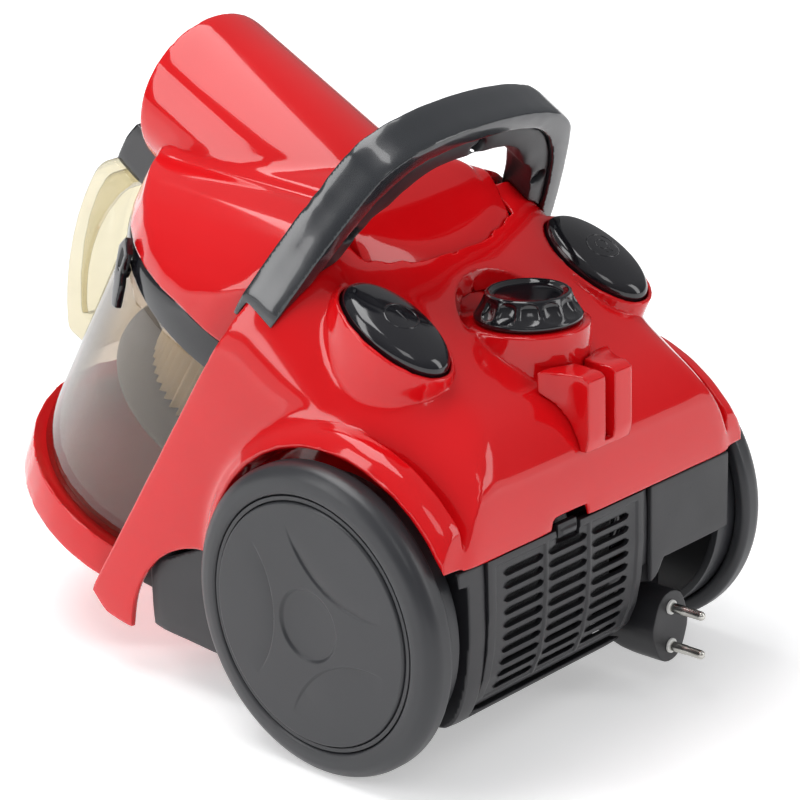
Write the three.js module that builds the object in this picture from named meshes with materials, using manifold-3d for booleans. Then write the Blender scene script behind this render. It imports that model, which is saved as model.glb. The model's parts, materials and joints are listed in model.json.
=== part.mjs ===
// Compact bagless canister vacuum cleaner, as an assembly of separate pieces.
// Millimetres, +Z up. The hose end faces -Y, the exhaust end +Y, and the machine's left side is +X.
// Everything is laid out from the wheel axle (y = 0) and the floor (z = 0). At the end the whole
// assembly slides along Y, so that the origin is under the middle of its overall box.
import * as THREE from 'three';
import { mergeVertices } from 'three/addons/utils/BufferGeometryUtils.js';
import Module from 'manifold-3d';

const wasm = await Module();
wasm.setup();

// ---------- driving dimensions ----------
const GAP = 0.35;                 // air between two pieces that touch
const SMOOTHING = 0.04;           // slivers and steps finer than this are evened out
const BIG = 600;                  // reach of a cutting block

const TYRE_RADIUS = 70.6;
const TYRE_SEGMENTS = 40;
const ROUND = 36;                 // sides of the large round pieces
const AXLE_Z = TYRE_RADIUS * Math.cos(Math.PI / TYRE_SEGMENTS);   // a flat of the tread meets the floor
const WHEEL_OUTER_X = 117.5;      // outer face of the hubcap
const WHEEL_INNER_X = 90;
const ARCH_RADIUS = 74.5;

const BODY_HALF_WIDTH = 98;
const WALL = 3;
const HEM_Z = 103.8;              // lower edge of the red shell at the rear
const FLOOR_Z = 24.5;             // underside of the base tray
const REAR_Y = 67;

const SLOPE = 34.9;               // degrees, the top of the body falls towards the rear
const SEAM_Y = -16;               // where the lid meets the body on the centre line
const SEAM_Z = 206;

const CUP_TILT = 34.3;            // degrees, the cup leans back as it goes up
const CUP_Y = -154.5;             // a point on the cup's axis
const CUP_Z = 105.4;
const CUP_BOTTOM = -43.9;         // heights along the cup's axis
const CUP_TOP = 81;
const CUP_RADIUS_BOTTOM = 84.6;
const CUP_RADIUS_TOP = 87.4;
const FOOT_TILT = 10;             // degrees, the cup's bottom drops towards the front
const LID_BASE = 99;
const LID_RADIUS = 90.4;
const BAND_BACK = 30;             // the body's side bands start this far behind the cup's axis

const TUBE_TILT = 28;             // degrees above level
const TUBE_MOUTH_Y = -170;
const TUBE_MOUTH_Z = 258.7;
const MOUTH_LEAN = 12;            // degrees, the top of the mouth stands further forward
const TUBE_HALF_WIDTH = 43;
const TUBE_HALF_HEIGHT = 38.5;
const HOSE_RADIUS = 19;

const HANDLE_LEAN = 32;           // degrees, the carry handle leans back
const HANDLE_Y = -41;
const HANDLE_Z = 187;
const HANDLE_WIDTH = 21;

const DIAL_Y = 26;
const DIAL_FLOOR_Z = 182.4;
const PEDAL_X = 67.5;
const PEDAL_Y = 9.5;
const PEDAL_HALF_WIDTH = 16.8;
const PEDAL_HALF_LENGTH = 29.5;
const PEDAL_SLOPE = SLOPE - 6;    // degrees, the pedals lie a little flatter than the body's top

// ---------- materials ----------
const finish = (color, roughness, metalness = 0, opacity = 1) =>
  new THREE.MeshStandardMaterial({ color, roughness, metalness, opacity, transparent: opacity < 1 });
const RED = () => finish(0xd3121a, 0.18);
const CHARCOAL = () => finish(0x3a3b3f, 0.5);
const GLOSS_BLACK = () => finish(0x0b0c10, 0.12);
const HANDLE_GREY = () => finish(0x4a4d51, 0.35);
const RUBBER = () => finish(0x2f3033, 0.75);
const SMOKE = () => finish(0x7a6458, 0.06, 0, 0.4);
const BEIGE_SMOKE = () => finish(0xa89c78, 0.1, 0, 0.5);
const CREAM = () => finish(0xe4d8b6, 0.85);
const GREY = () => finish(0x6c6e72, 0.6);
const NICKEL = () => finish(0xb9b8b2, 0.25, 1);
const STEEL = () => finish(0x8d9094, 0.35, 1);
const FOAM = () => finish(0x26282b, 0.95);
const ALUMINIUM = () => finish(0xa9acb0, 0.4, 1);

// ---------- frames ----------
const rad = THREE.MathUtils.degToRad;

function frameAt(y, z, degreesAboutX, x = 0) {
  const turn = new THREE.Matrix4().makeRotationX(rad(degreesAboutX));
  return turn.setPosition(x, y, z);
}

const WORLD = new THREE.Matrix4();
const CUP = frameAt(CUP_Y, CUP_Z, -CUP_TILT);                 // z up the cup, y to its back
const TUBE = frameAt(TUBE_MOUTH_Y, TUBE_MOUTH_Z, 90 - TUBE_TILT);   // z out of the mouth, y to its top
const TOP = frameAt(SEAM_Y, SEAM_Z, -SLOPE);                  // z off the sloping top, y down the slope
const HANDLE = frameAt(HANDLE_Y, HANDLE_Z, -HANDLE_LEAN);     // z up the handle, y to its rear edge
const LIFT = frameAt(SEAM_Y, SEAM_Z, 30);                     // z along the way out
const LOBES = frameAt(-100, 0, -5);                           // the lobes fall a little to the rear
const FOOT = new THREE.Matrix4().multiplyMatrices(CUP, frameAt(BAND_BACK, CUP_BOTTOM, FOOT_TILT))
  .multiply(frameAt(-BAND_BACK, 0, 0));                       // z = 0 is the underside of the cup

// ---------- solids ----------
function solid(geometry, frame = WORLD) {
  const bare = geometry.clone();
  bare.deleteAttribute('normal');
  bare.deleteAttribute('uv');
  bare.applyMatrix4(frame);
  const merged = mergeVertices(bare, 1e-4);
  const triVerts = Uint32Array.from(merged.index.array);
  const vertProperties = Float32Array.from(merged.attributes.position.array);
  let body = new wasm.Manifold(new wasm.Mesh({ numProp: 3, vertProperties, triVerts }));
  if (body.volume() < 0) {
    for (let i = 0; i < triVerts.length; i += 3) {
      [triVerts[i], triVerts[i + 1]] = [triVerts[i + 1], triVerts[i]];
    }
    body = new wasm.Manifold(new wasm.Mesh({ numProp: 3, vertProperties, triVerts }));
  }
  return body;
}

function outline(points) {
  return new THREE.Shape(points.map(([a, b]) => new THREE.Vector2(a, b)));
}

function extrude(shape, depth, curveSegments = 6) {
  return new THREE.ExtrudeGeometry(shape, { depth, bevelEnabled: false, curveSegments });
}

// In the three extruders below curveSegments counts the steps of one curve. An arc gets twice as many.

// A shape drawn in (y, z), extruded from x0 to x1.
function alongX(shape, x0, x1, frame = WORLD, curveSegments = 6) {
  const geometry = extrude(shape, x1 - x0, curveSegments);
  geometry.applyMatrix4(new THREE.Matrix4().set(0, 0, 1, x0, 1, 0, 0, 0, 0, 1, 0, 0, 0, 0, 0, 1));
  return solid(geometry, frame);
}

// A shape drawn in (x, z), extruded from y0 to y1.
function alongY(shape, y0, y1, frame = WORLD, curveSegments = 3) {
  const geometry = extrude(shape, y1 - y0, curveSegments);
  geometry.applyMatrix4(new THREE.Matrix4().set(1, 0, 0, 0, 0, 0, -1, y1, 0, 1, 0, 0, 0, 0, 0, 1));
  return solid(geometry, frame);
}

// A shape drawn in (x, y), extruded from z0 to z1.
function alongZ(shape, z0, z1, frame = WORLD, curveSegments = 6) {
  const geometry = extrude(shape, z1 - z0, curveSegments);
  geometry.translate(0, 0, z0);
  return solid(geometry, frame);
}

function box(x0, x1, y0, y1, z0, z1, frame = WORLD) {
  const geometry = new THREE.BoxGeometry(x1 - x0, y1 - y0, z1 - z0);
  geometry.translate((x0 + x1) / 2, (y0 + y1) / 2, (z0 + z1) / 2);
  return solid(geometry, frame);
}

// A ring or disc turned about z, from (radius, z) points. It is centred on (x, y).
function turned(points, { segments = 30, frame = WORLD, x = 0, y = 0 } = {}) {
  const geometry = new THREE.LatheGeometry(points.map(([r, z]) => new THREE.Vector2(r, z)), segments);
  geometry.rotateX(Math.PI / 2);
  geometry.translate(x, y, 0);
  return solid(geometry, frame);
}

function rod(radius, z0, z1, options = {}) {
  return turned([[0, z0], [radius, z0], [radius, z1], [0, z1]], { segments: 24, ...options });
}

function ring(inner, outer, z0, z1, options = {}) {
  return turned([[inner, z0], [outer, z0], [outer, z1], [inner, z1], [inner, z0]], options);
}

// The frame whose z runs along x, with its origin on a line parallel to the x axis.
function acrossFrame(y, z) {
  return new THREE.Matrix4().set(0, 0, 1, 0, 1, 0, 0, y, 0, 1, 0, z, 0, 0, 0, 1);
}

// The frame whose z runs along y.
function lengthwiseFrame(x, z) {
  return new THREE.Matrix4().set(0, 1, 0, x, 0, 0, 1, 0, 1, 0, 0, z, 0, 0, 0, 1);
}

// The largest piece of a cut body, without the slivers that a cut can leave.
function mainBody(body) {
  const pieces = body.decompose();
  return pieces.reduce((best, piece) => (piece.volume() > best.volume() ? piece : best));
}

const mirrored = (body) => body.mirror([1, 0, 0]);

function roundedSlot(width, height, cx, cz) {
  const shape = new THREE.Shape();
  const half = height / 2;
  const reach = width / 2 - half;
  shape.absarc(cx + reach, cz, half, -Math.PI / 2, Math.PI / 2);
  shape.absarc(cx - reach, cz, half, Math.PI / 2, Math.PI * 1.5);
  return shape;
}

function roundedBox(halfWidth, halfHeight, corner, cx = 0, cz = 0) {
  const shape = new THREE.Shape();
  const x = halfWidth - corner;
  const z = halfHeight - corner;
  shape.absarc(cx + x, cz + z, corner, 0, Math.PI / 2);
  shape.absarc(cx - x, cz + z, corner, Math.PI / 2, Math.PI);
  shape.absarc(cx - x, cz - z, corner, Math.PI, Math.PI * 1.5);
  shape.absarc(cx + x, cz - z, corner, Math.PI * 1.5, Math.PI * 2);
  return shape;
}

const root = new THREE.Group();
root.name = 'canister_vacuum_cleaner';

function add(name, body, material) {
  const { vertProperties, triVerts } = mainBody(body).simplify(SMOOTHING).getMesh();
  const geometry = new THREE.BufferGeometry();
  geometry.setAttribute('position', new THREE.BufferAttribute(Float32Array.from(vertProperties), 3));
  geometry.setIndex(new THREE.BufferAttribute(Uint32Array.from(triVerts), 1));
  geometry.computeVertexNormals();
  const mesh = new THREE.Mesh(geometry, material);
  mesh.name = name;
  root.add(mesh);
}

// ---------- shared envelopes ----------
const slopeZ = (y) => SEAM_Z - Math.tan(rad(SLOPE)) * (y - SEAM_Y);
const cosTilt = Math.cos(rad(CUP_TILT));
const sinTilt = Math.sin(rad(CUP_TILT));

// A point given by its height along the cup's axis and its distance behind that axis, in (y, z).
function cupPoint(height, behind) {
  return [CUP_Y + height * sinTilt + behind * cosTilt, CUP_Z + height * cosTilt - behind * sinTilt];
}

// The body's side view. Its front edge is the slanting edge of the side bands.
function bodySideView(inset) {
  const shape = new THREE.Shape();
  const rear = REAR_Y - inset;
  const shift = inset / Math.cos(rad(SLOPE));
  const behind = inset > 0 ? BAND_BACK - 20 : BAND_BACK;
  const bandTop = cupPoint(inset > 0 ? 190 : 161.4, behind);
  const bandFoot = cupPoint(-62, behind);
  shape.moveTo(rear, FLOOR_Z);
  shape.lineTo(rear + 1, 118);
  shape.quadraticCurveTo(rear + 1.5, 146 - inset, 50, slopeZ(50) - shift);
  shape.lineTo(bandTop[0], slopeZ(bandTop[0]) - shift);
  shape.lineTo(bandFoot[0], bandFoot[1]);
  shape.lineTo(bandFoot[0] + 9.5, 27.7);
  shape.lineTo(-137, FLOOR_Z);
  return shape;
}

// The body seen along its slope: flat on top, with broad round shoulders.
function bodyShoulders(inset) {
  const shape = new THREE.Shape();
  const flat = 58;
  const drop = 70;
  const side = BODY_HALF_WIDTH - inset;
  shape.moveTo(-side, -BIG);
  shape.lineTo(side, -BIG);
  shape.absellipse(flat, -drop, side - flat, drop - inset, 0, Math.PI / 2);
  shape.absellipse(-flat, -drop, side - flat, drop - inset, Math.PI / 2, Math.PI);
  return shape;
}

function bodyPlan(inset) {
  const middle = (REAR_Y - 300) / 2;
  return roundedBox(BODY_HALF_WIDTH + 20 - inset, (REAR_Y + 300) / 2 + 1.5 - inset, 34 - inset, 0, middle);
}

function bodyEnvelope(inset) {
  const steps = inset > 0 ? 3 : 5;
  const side = alongX(bodySideView(inset), -BODY_HALF_WIDTH, BODY_HALF_WIDTH, WORLD, steps);
  const shoulders = alongY(bodyShoulders(inset), -300, 300, TOP, steps);
  const plan = alongZ(bodyPlan(inset), 0, 400, WORLD, steps - 2);
  return side.intersect(shoulders).intersect(plan);
}

// The space that the cup and its lid take from the body. It is open along the way out.
function cupBay(clearance) {
  const radius = LID_RADIUS + 1.2 + clearance;
  const round = rod(radius, CUP_BOTTOM - 0.4, 260, { frame: CUP, segments: ROUND });
  const seam = rod(250 + clearance, -BIG, BIG, { frame: LIFT, y: -250 - clearance, segments: 120 });
  const ahead = box(-BIG, BIG, -BIG, BAND_BACK - 0.6, -BIG, BIG, CUP);
  const below = box(-BIG, BIG, -BIG, BIG, -BIG, 112, CUP);
  const middle = seam.translate([0, clearance, 0]);
  return round.intersect(middle.add(ahead).add(below)).subtract(legRoom(clearance));
}

// The corners behind the handle's legs belong to the body, so that the lid can pass between the legs.
function legRoom(clearance) {
  const legFront = -HANDLE_WIDTH - 1;
  const footView = outline([[legFront, 0], [legFront, BIG], [BIG, BIG], [BIG, 0]]);
  const foot = alongX(footView, 50 + clearance, 150, HANDLE);
  const sill = new THREE.Vector3(0, legFront, 0).applyMatrix4(HANDLE);
  const below = box(50 + clearance, 150, clearance, BIG, -BIG, 0, frameAt(sill.y, sill.z, 30));
  const side = foot.add(below);
  return side.add(mirrored(side));
}

function wheelSpace(radius, innerX) {
  const space = rod(radius, innerX, 140, { frame: acrossFrame(0, AXLE_Z), segments: ROUND });
  return space.add(mirrored(space));
}

// ---------- red upper shell ----------
function archFlare() {
  const lip = turned([
    [ARCH_RADIUS - 4, 92], [ARCH_RADIUS + 9, 92], [ARCH_RADIUS + 9, 97], [ARCH_RADIUS + 5, 102],
    [ARCH_RADIUS + 2, 104], [ARCH_RADIUS - 4, 104], [ARCH_RADIUS - 4, 92],
  ], { frame: acrossFrame(0, AXLE_Z), segments: ROUND });
  const above = box(0, 150, -100, REAR_Y - 1, HEM_Z, 200);
  const ahead = box(0, 150, -100, -20, 74, 200);
  const flare = lip.intersect(above.add(ahead));
  return flare.add(mirrored(flare));
}

const pedalFrame = (side) => {
  const y = PEDAL_Y;
  return frameAt(y, slopeZ(y) + 2.2, -PEDAL_SLOPE, side * PEDAL_X);
};

function pedalOutline(grow) {
  const shape = new THREE.Shape();
  shape.absellipse(0, 0, PEDAL_HALF_WIDTH + grow, PEDAL_HALF_LENGTH + grow, 0, Math.PI * 2);
  return shape;
}

function buildUpperShell() {
  const outer = bodyEnvelope(0);
  const inner = bodyEnvelope(WALL);
  const dialBoss = rod(27.6, 130, DIAL_FLOOR_Z, { y: DIAL_Y, segments: 24 });
  const dialScoop = rod(30.6, DIAL_FLOOR_Z, 240, { y: DIAL_Y - 1, segments: 24 });
  const scoopWall = rod(33.4, DIAL_FLOOR_Z - WALL, 240, { y: DIAL_Y - 1, segments: 24 });
  const bossInside = rod(24, 100, DIAL_FLOOR_Z - WALL, { y: DIAL_Y, segments: 24 });
  let body = outer.add(archFlare()).add(dialBoss);
  const aboveHem = box(-BIG, BIG, -BIG, BIG, HEM_Z, BIG);
  const wellWall = wheelSpace(ARCH_RADIUS + WALL, 80 - WALL).intersect(aboveHem);
  let hollow = inner.subtract(scoopWall).add(bossInside).subtract(wellWall);
  for (const side of [-1, 1]) {
    const frame = pedalFrame(side);
    const collar = alongZ(pedalOutline(3.4), -26, 0.8, frame, 10);
    body = body.add(collar);
    hollow = hollow.subtract(collar).add(alongZ(pedalOutline(1), -30, 8, frame, 10));
  }
  const shaftHole = rod(5, 150, 200, { y: DIAL_Y, segments: 16 });
  const frontArch = rod(57, -BIG, BIG, { frame: acrossFrame(-80, 20), segments: ROUND });
  const rearLow = box(-BIG, BIG, -30, BIG, -10, HEM_Z);
  const floorCut = box(-80, 80, -BIG, BIG, -10, HEM_Z);
  const notchHeights = [HEM_Z - 1, HEM_Z + 5.5];
  const latchNotch = box(VENT_MIDDLE - 12, VENT_MIDDLE + 12, REAR_Y - 12, REAR_Y + 5, ...notchHeights);
  body = body.subtract(hollow).subtract(dialScoop).subtract(shaftHole);
  body = body.subtract(cupBay(0)).subtract(wheelSpace(ARCH_RADIUS, 80)).subtract(frontArch);
  body = body.subtract(rearLow).subtract(latchNotch).subtract(floorCut.intersect(inner));
  add('upper_shell', body, RED());
}

// ---------- dark base tray ----------
const NICHE = { x0: -92, x1: -27.5, y: 28, z: 65 };       // open pocket for the parked plug
const VENT = { x0: -29.5, x1: 76, z0: 30.5, z1: 108.5 };      // exhaust cover
const VENT_MIDDLE = (VENT.x0 + VENT.x1) / 2;

function traySideView(inset) {
  const shape = new THREE.Shape();
  const front = cupPoint(60, 98 + inset);
  shape.moveTo(-126 + 2.2 * inset, 27.5 + inset);
  shape.lineTo(-80, FLOOR_Z + inset);
  shape.lineTo(48 - inset, FLOOR_Z + inset);
  shape.quadraticCurveTo(62 - inset, 30 + inset, 65 - inset, 70);
  shape.lineTo(65 - inset, inset ? 140 : HEM_Z - GAP);
  shape.lineTo(front[0] + 12, inset ? 140 : HEM_Z - GAP);
  shape.lineTo(-126 + 2.2 * inset, 60);
  return shape;
}

function buildBaseTray() {
  const halfWidth = BODY_HALF_WIDTH - WALL - 1;
  const outer = alongX(traySideView(0), -halfWidth, halfWidth);
  const cavity = alongX(traySideView(WALL), WALL - halfWidth, halfWidth - WALL);
  const wells = wheelSpace(69, 87);
  const wellWalls = wheelSpace(72, 84);
  const bay = rod(LID_RADIUS + 5.5, CUP_BOTTOM - 5, 260, { frame: CUP, segments: ROUND });
  const gland = rod(6.3, 0, 60, { frame: lengthwiseFrame(PLUG.x, PLUG.z), segments: 16 });
  const niche = box(NICHE.x0, NICHE.x1, NICHE.y, BIG, -10, NICHE.z);
  const nicheWall = box(NICHE.x0, NICHE.x1, NICHE.y - WALL, NICHE.y, FLOOR_Z, 43);
  const ventHole = box(VENT.x0 + 7, VENT.x1 - 7, 30, BIG, 42, 99);
  const ventRebate = alongX(ventSideView(-GAP), VENT.x0 - GAP, VENT.x1 + GAP);
  let body = outer.subtract(cavity.subtract(wellWalls)).subtract(wells);
  body = body.subtract(bay).subtract(niche).add(nicheWall).subtract(gland);
  body = body.subtract(ventHole).subtract(ventRebate).subtract(reelPanelSolid(GAP));
  for (const side of [-1, 1]) {
    body = body.subtract(rod(5.3, side * 60, side * 100, {
      frame: acrossFrame(0, AXLE_Z), segments: 16,
    }));
  }
  add('base_tray', body, CHARCOAL());
}

// ---------- panel over the cord reel ----------
function reelPanelSolid(grow) {
  const shape = outline([
    [-93.5 - grow, 66.5 - grow], [-44, 66.5 - grow], [-40, 60 - grow], [-34.5 + grow, 57 - grow],
    [-34.5 + grow, HEM_Z + BIG], [-93.5 - grow, HEM_Z + BIG],
  ]);
  const slab = alongY(shape, REAR_Y - 3.8 - grow, REAR_Y - 0.6 + grow * 20);
  return grow ? slab : slab.subtract(box(-BIG, BIG, 0, BIG, HEM_Z - GAP, BIG * 2));
}

// ---------- red front cradle ----------
const CRADLE_TOP = 3.4;           // heights above the underside of the cup
const CRADLE_FOOT = -17.1;
const CASTER_Y = -146;
const CASTER_TOP = 29;

function buildFrontCradle() {
  const frame = FOOT;
  const rim = turned([[0, CRADLE_FOOT], [92.2, CRADLE_FOOT], [91, CRADLE_TOP], [0, CRADLE_TOP]],
    { frame, segments: ROUND });
  const behind = box(-BIG, BIG, BAND_BACK - GAP, BIG, -BIG, BIG, CUP);
  const dish = turned([[0, -0.5], [86.8, -0.5], [91.6, CRADLE_TOP + 0.3], [91.6, 90], [0, 90]],
    { frame, segments: ROUND });
  const under = rod(89, CRADLE_FOOT - 5, -4, { frame, segments: ROUND });
  const floor = rod(87, -4, -0.5, { frame, segments: ROUND });
  const rear = box(-BIG, BIG, 60, BIG, -BIG, BIG, CUP);
  const boss = rod(11, CASTER_TOP, 80, { y: CASTER_Y, segments: 24 });
  const belowFloor = rod(88, CRADLE_FOOT - 40, -2, { frame, segments: 30 });
  const bore = rod(4.1, CASTER_TOP - 5, CASTER_TOP + 13, { y: CASTER_Y, segments: 16 });
  const shell = rim.subtract(behind).subtract(under).add(floor.subtract(rear));
  const body = shell.subtract(dish).add(boss.intersect(belowFloor)).subtract(bore);
  add('front_cradle', body, RED());
}

// ---------- dark wall behind the cup ----------
function buildBayWall() {
  const wall = ring(LID_RADIUS + 2.1, LID_RADIUS + 4.8, CUP_BOTTOM - 4, 260, { frame: CUP, segments: ROUND });
  const rear = box(-BIG, BIG, 34, BIG, -BIG, BIG, CUP);
  const seam = cupBay(2.1);
  const inletFrame = new THREE.Matrix4().multiplyMatrices(CUP, lengthwiseFrame(0, 6));
  const inlet = rod(27, 0, 140, { frame: inletFrame });
  const aboveFloor = box(-BIG, BIG, -BIG, BIG, FLOOR_Z + WALL + 3, BIG);
  let body = wall.intersect(rear).intersect(bodyEnvelope(WALL + GAP)).intersect(aboveFloor);
  body = body.subtract(inlet).subtract(box(-BIG, BIG, -BIG, BIG, 118, BIG, CUP));
  body = body.subtract(wheelSpace(72 + GAP, 84 - GAP));
  add('cup_bay_wall', body.subtract(seam.intersect(box(-BIG, BIG, -BIG, BIG, 200, BIG))), CHARCOAL());
}

// ---------- parking hook ----------
function buildParkingHook() {
  const rear = 71;
  const plan = new THREE.Shape();
  plan.moveTo(15, rear);
  plan.quadraticCurveTo(16, 58, 25, 50);
  plan.lineTo(-25, 50);
  plan.quadraticCurveTo(-16, 58, -15, rear);
  const side = outline([
    [30, 171], [58, 168.5], [68.5, 168], [rear, 166], [rear, 140], [69.5, 134], [30, 134],
  ]);
  const boss = rod(28.2, 100, 200, { y: DIAL_Y, segments: 30 });
  const slot = box(-3, 3, 30, 90, 136.5, 200);
  const seat = bodyEnvelope(0).translate([0, GAP, 0.1]).add(boss);
  const body = alongZ(plan, 130, 180).intersect(alongX(side, -30, 30));
  add('parking_hook', body.subtract(slot).subtract(seat), RED());
}

// ---------- exhaust cover ----------
function ventSideView(inset) {
  const shape = new THREE.Shape();
  shape.moveTo(47.5 + inset, VENT.z0 + inset);
  shape.quadraticCurveTo(61 + inset, 42, 62.8 + inset, 80);
  shape.lineTo(62.8 + inset, VENT.z1 - 5);
  shape.lineTo(90, VENT.z1 - 5);
  shape.lineTo(90, VENT.z0 + inset);
  return shape;
}

function ventSkin(inset) {
  const shape = new THREE.Shape();
  shape.moveTo(47.8, VENT.z0);
  shape.quadraticCurveTo(61.3, 42, 63.1, 80);
  shape.lineTo(63.1, VENT.z1 - 5.5);
  shape.lineTo(66.4 - inset, VENT.z1 - 5.5);
  shape.lineTo(66.4 - inset, 80);
  shape.quadraticCurveTo(65.3 - inset, 40, 51.5 - inset, VENT.z0);
  return shape;
}

const VENT_COLUMNS = 3;
const VENT_ROWS = 10;

function buildExhaustCover() {
  const panel = alongX(ventSkin(0), VENT.x0, VENT.x1, WORLD, 4);
  const middleZ = (VENT.z0 + VENT.z1) / 2 + 2;
  const frame = roundedBox((VENT.x1 - VENT.x0) / 2, 40, 5, VENT_MIDDLE, middleZ);
  let body = panel.intersect(alongY(frame, 0, 100));
  const pitchX = 29.5;
  const pitchZ = 6;
  for (let column = 0; column < VENT_COLUMNS; column += 1) {
    for (let row = 0; row < VENT_ROWS; row += 1) {
      const cx = VENT_MIDDLE + (column - 1) * pitchX;
      const cz = 40.5 + row * pitchZ;
      body = body.subtract(alongY(roundedSlot(26, 3.3, cx, cz), 30, 90, WORLD, 1));
    }
  }
  body = body.subtract(box(VENT_MIDDLE - 8, VENT_MIDDLE + 8, 30, 90, 96.5, 130));
  add('exhaust_cover', body, CHARCOAL());
  const latch = box(VENT_MIDDLE - 6.5, VENT_MIDDLE + 6.5, 63.2, 65.8, 98.6, VENT.z1 - 3.5)
    .add(box(VENT_MIDDLE - 5, VENT_MIDDLE + 5, 64, 67.2, 100, 102.4));
  add('exhaust_cover_latch', latch, CHARCOAL());
}

function buildExhaustFilter() {
  const shape = outline([
    [VENT.x0 + 9, 49], [VENT.x1 - 9, 49], [VENT.x1 - 9, 96], [VENT.x0 + 9, 96],
  ]);
  add('exhaust_filter', alongY(shape, 47.5, 54.5), FOAM());
}

// ---------- carry handle ----------
// Half widths of the handle's outer edge, by height above its feet.
function handleArch(grow) {
  const shape = new THREE.Shape();
  const foot = -8;
  shape.moveTo(92 - grow, foot);
  shape.lineTo(91 - grow, 4);
  shape.bezierCurveTo(83 - grow, 34, 73.5 - grow, 58, 63.5 - grow, 77 - grow);
  shape.bezierCurveTo(54 - grow, 89.5 - grow, 30, 95 - grow, 0, 95 - grow);
  shape.bezierCurveTo(-30, 95 - grow, grow - 54, 89.5 - grow, grow - 63.5, 77 - grow);
  shape.bezierCurveTo(grow - 73.5, 58, grow - 83, 34, grow - 91, 4);
  shape.lineTo(grow - 92, foot);
  return shape;
}

const HANDLE_SCREWS = [[0, 79.5], [62, 45], [-62, 45]];   // sideways and up the handle

function buildHandle() {
  const seat = bodyEnvelope(-GAP).add(lidEnvelope(-2).intersect(cupBay(0.5)));
  const outer = alongY(handleArch(0), -HANDLE_WIDTH, 0, HANDLE, 6);
  const middle = alongY(handleArch(9), -BIG, BIG, HANDLE, 6);
  const inner = alongY(handleArch(20), -BIG, BIG, HANDLE, 6);
  add('carry_handle_outer', outer.subtract(middle).subtract(seat), HANDLE_GREY());
  const liner = alongY(handleArch(9 + GAP), 1.5 - HANDLE_WIDTH, -2, HANDLE, 6);
  let lining = liner.subtract(inner).subtract(seat);
  HANDLE_SCREWS.forEach(([x, z], index) => {
    const frame = new THREE.Matrix4().multiplyMatrices(HANDLE, new THREE.Matrix4().set(
      1, 0, 0, x, 0, 0, -1, 0, 0, 1, 0, z, 0, 0, 0, 1));
    lining = lining.subtract(rod(4.2, 0, 12, { frame, segments: 12 }));
    const head = rod(3.6, 5, 9, { frame, segments: 12 });
    const recess = box(-0.6, 0.6, -2.6, 2.6, 4, 6, frame);
    const shank = rod(3.0, 8.8, 12 - GAP, { frame, segments: 12 });
    add(`handle_screw_${index + 1}`, head.add(shank).subtract(recess), STEEL());
  });
  add('carry_handle_inner', lining, CHARCOAL());
}

// ---------- controls ----------
function buildPedal(name, side) {
  const frame = pedalFrame(side);
  const skirt = alongZ(pedalOutline(0), -12, 9, frame, 10);
  const crown = new THREE.SphereGeometry(1, 30, 30);
  crown.scale(30, 52.7, 26);
  crown.translate(0, 0, -16.8);
  const cap = skirt.intersect(solid(crown, frame));
  add(name, cap.subtract(alongZ(pedalOutline(-3), -14, -4, frame, 6)), GLOSS_BLACK());
}

const SWITCH_BELOW = 20;

function buildSwitch(name, side) {
  const frame = pedalFrame(side);
  const body = box(-7, 7, -10, 10, -SWITCH_BELOW - 12, -SWITCH_BELOW, frame);
  const plunger = rod(2.5, -SWITCH_BELOW - 3, -8.6, { frame, segments: 16 });
  add(name, body.add(plunger), GREY());
}

const DIAL_FLUTES = 12;

function buildDial() {
  const bottom = DIAL_FLOOR_Z + GAP;
  let body = turned([
    [0, bottom], [24, bottom], [24.6, bottom + 1.5], [24, bottom + 3.5], [19.2, bottom + 11],
    [18.6, bottom + 12.6], [17.2, bottom + 12.8], [15.5, bottom + 11.4], [0, bottom + 10.6],
  ], { y: DIAL_Y, segments: 24 });
  for (let flute = 0; flute < DIAL_FLUTES; flute += 1) {
    const angle = (flute / DIAL_FLUTES) * Math.PI * 2;
    const cutter = new THREE.CylinderGeometry(2.6, 2.6, 16, 6);
    cutter.rotateX(Math.PI / 2 - 0.42);
    cutter.translate(0, 25.4, bottom + 8.5);
    cutter.rotateZ(angle);
    cutter.translate(0, DIAL_Y, 0);
    body = body.subtract(solid(cutter));
  }
  const stem = rod(4.6, DIAL_FLOOR_Z - 9, bottom + 2, { y: DIAL_Y, segments: 16 });
  add('suction_dial', body.add(stem), GLOSS_BLACK());
  const pot = rod(11, DIAL_FLOOR_Z - 24, DIAL_FLOOR_Z - 10, { y: DIAL_Y, segments: 16 });
  add('dial_regulator', pot, GREY());
}

// ---------- wheels ----------
const tyreProfile = [
  [57.6, 108], [57.6, 116.6], [65, 116.4], [69.4, 113.4], [TYRE_RADIUS, 110.2], [TYRE_RADIUS, 104.5],
  [68, 102.2], [63, 102.2], [63, 108], [57.6, 108],
];

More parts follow.
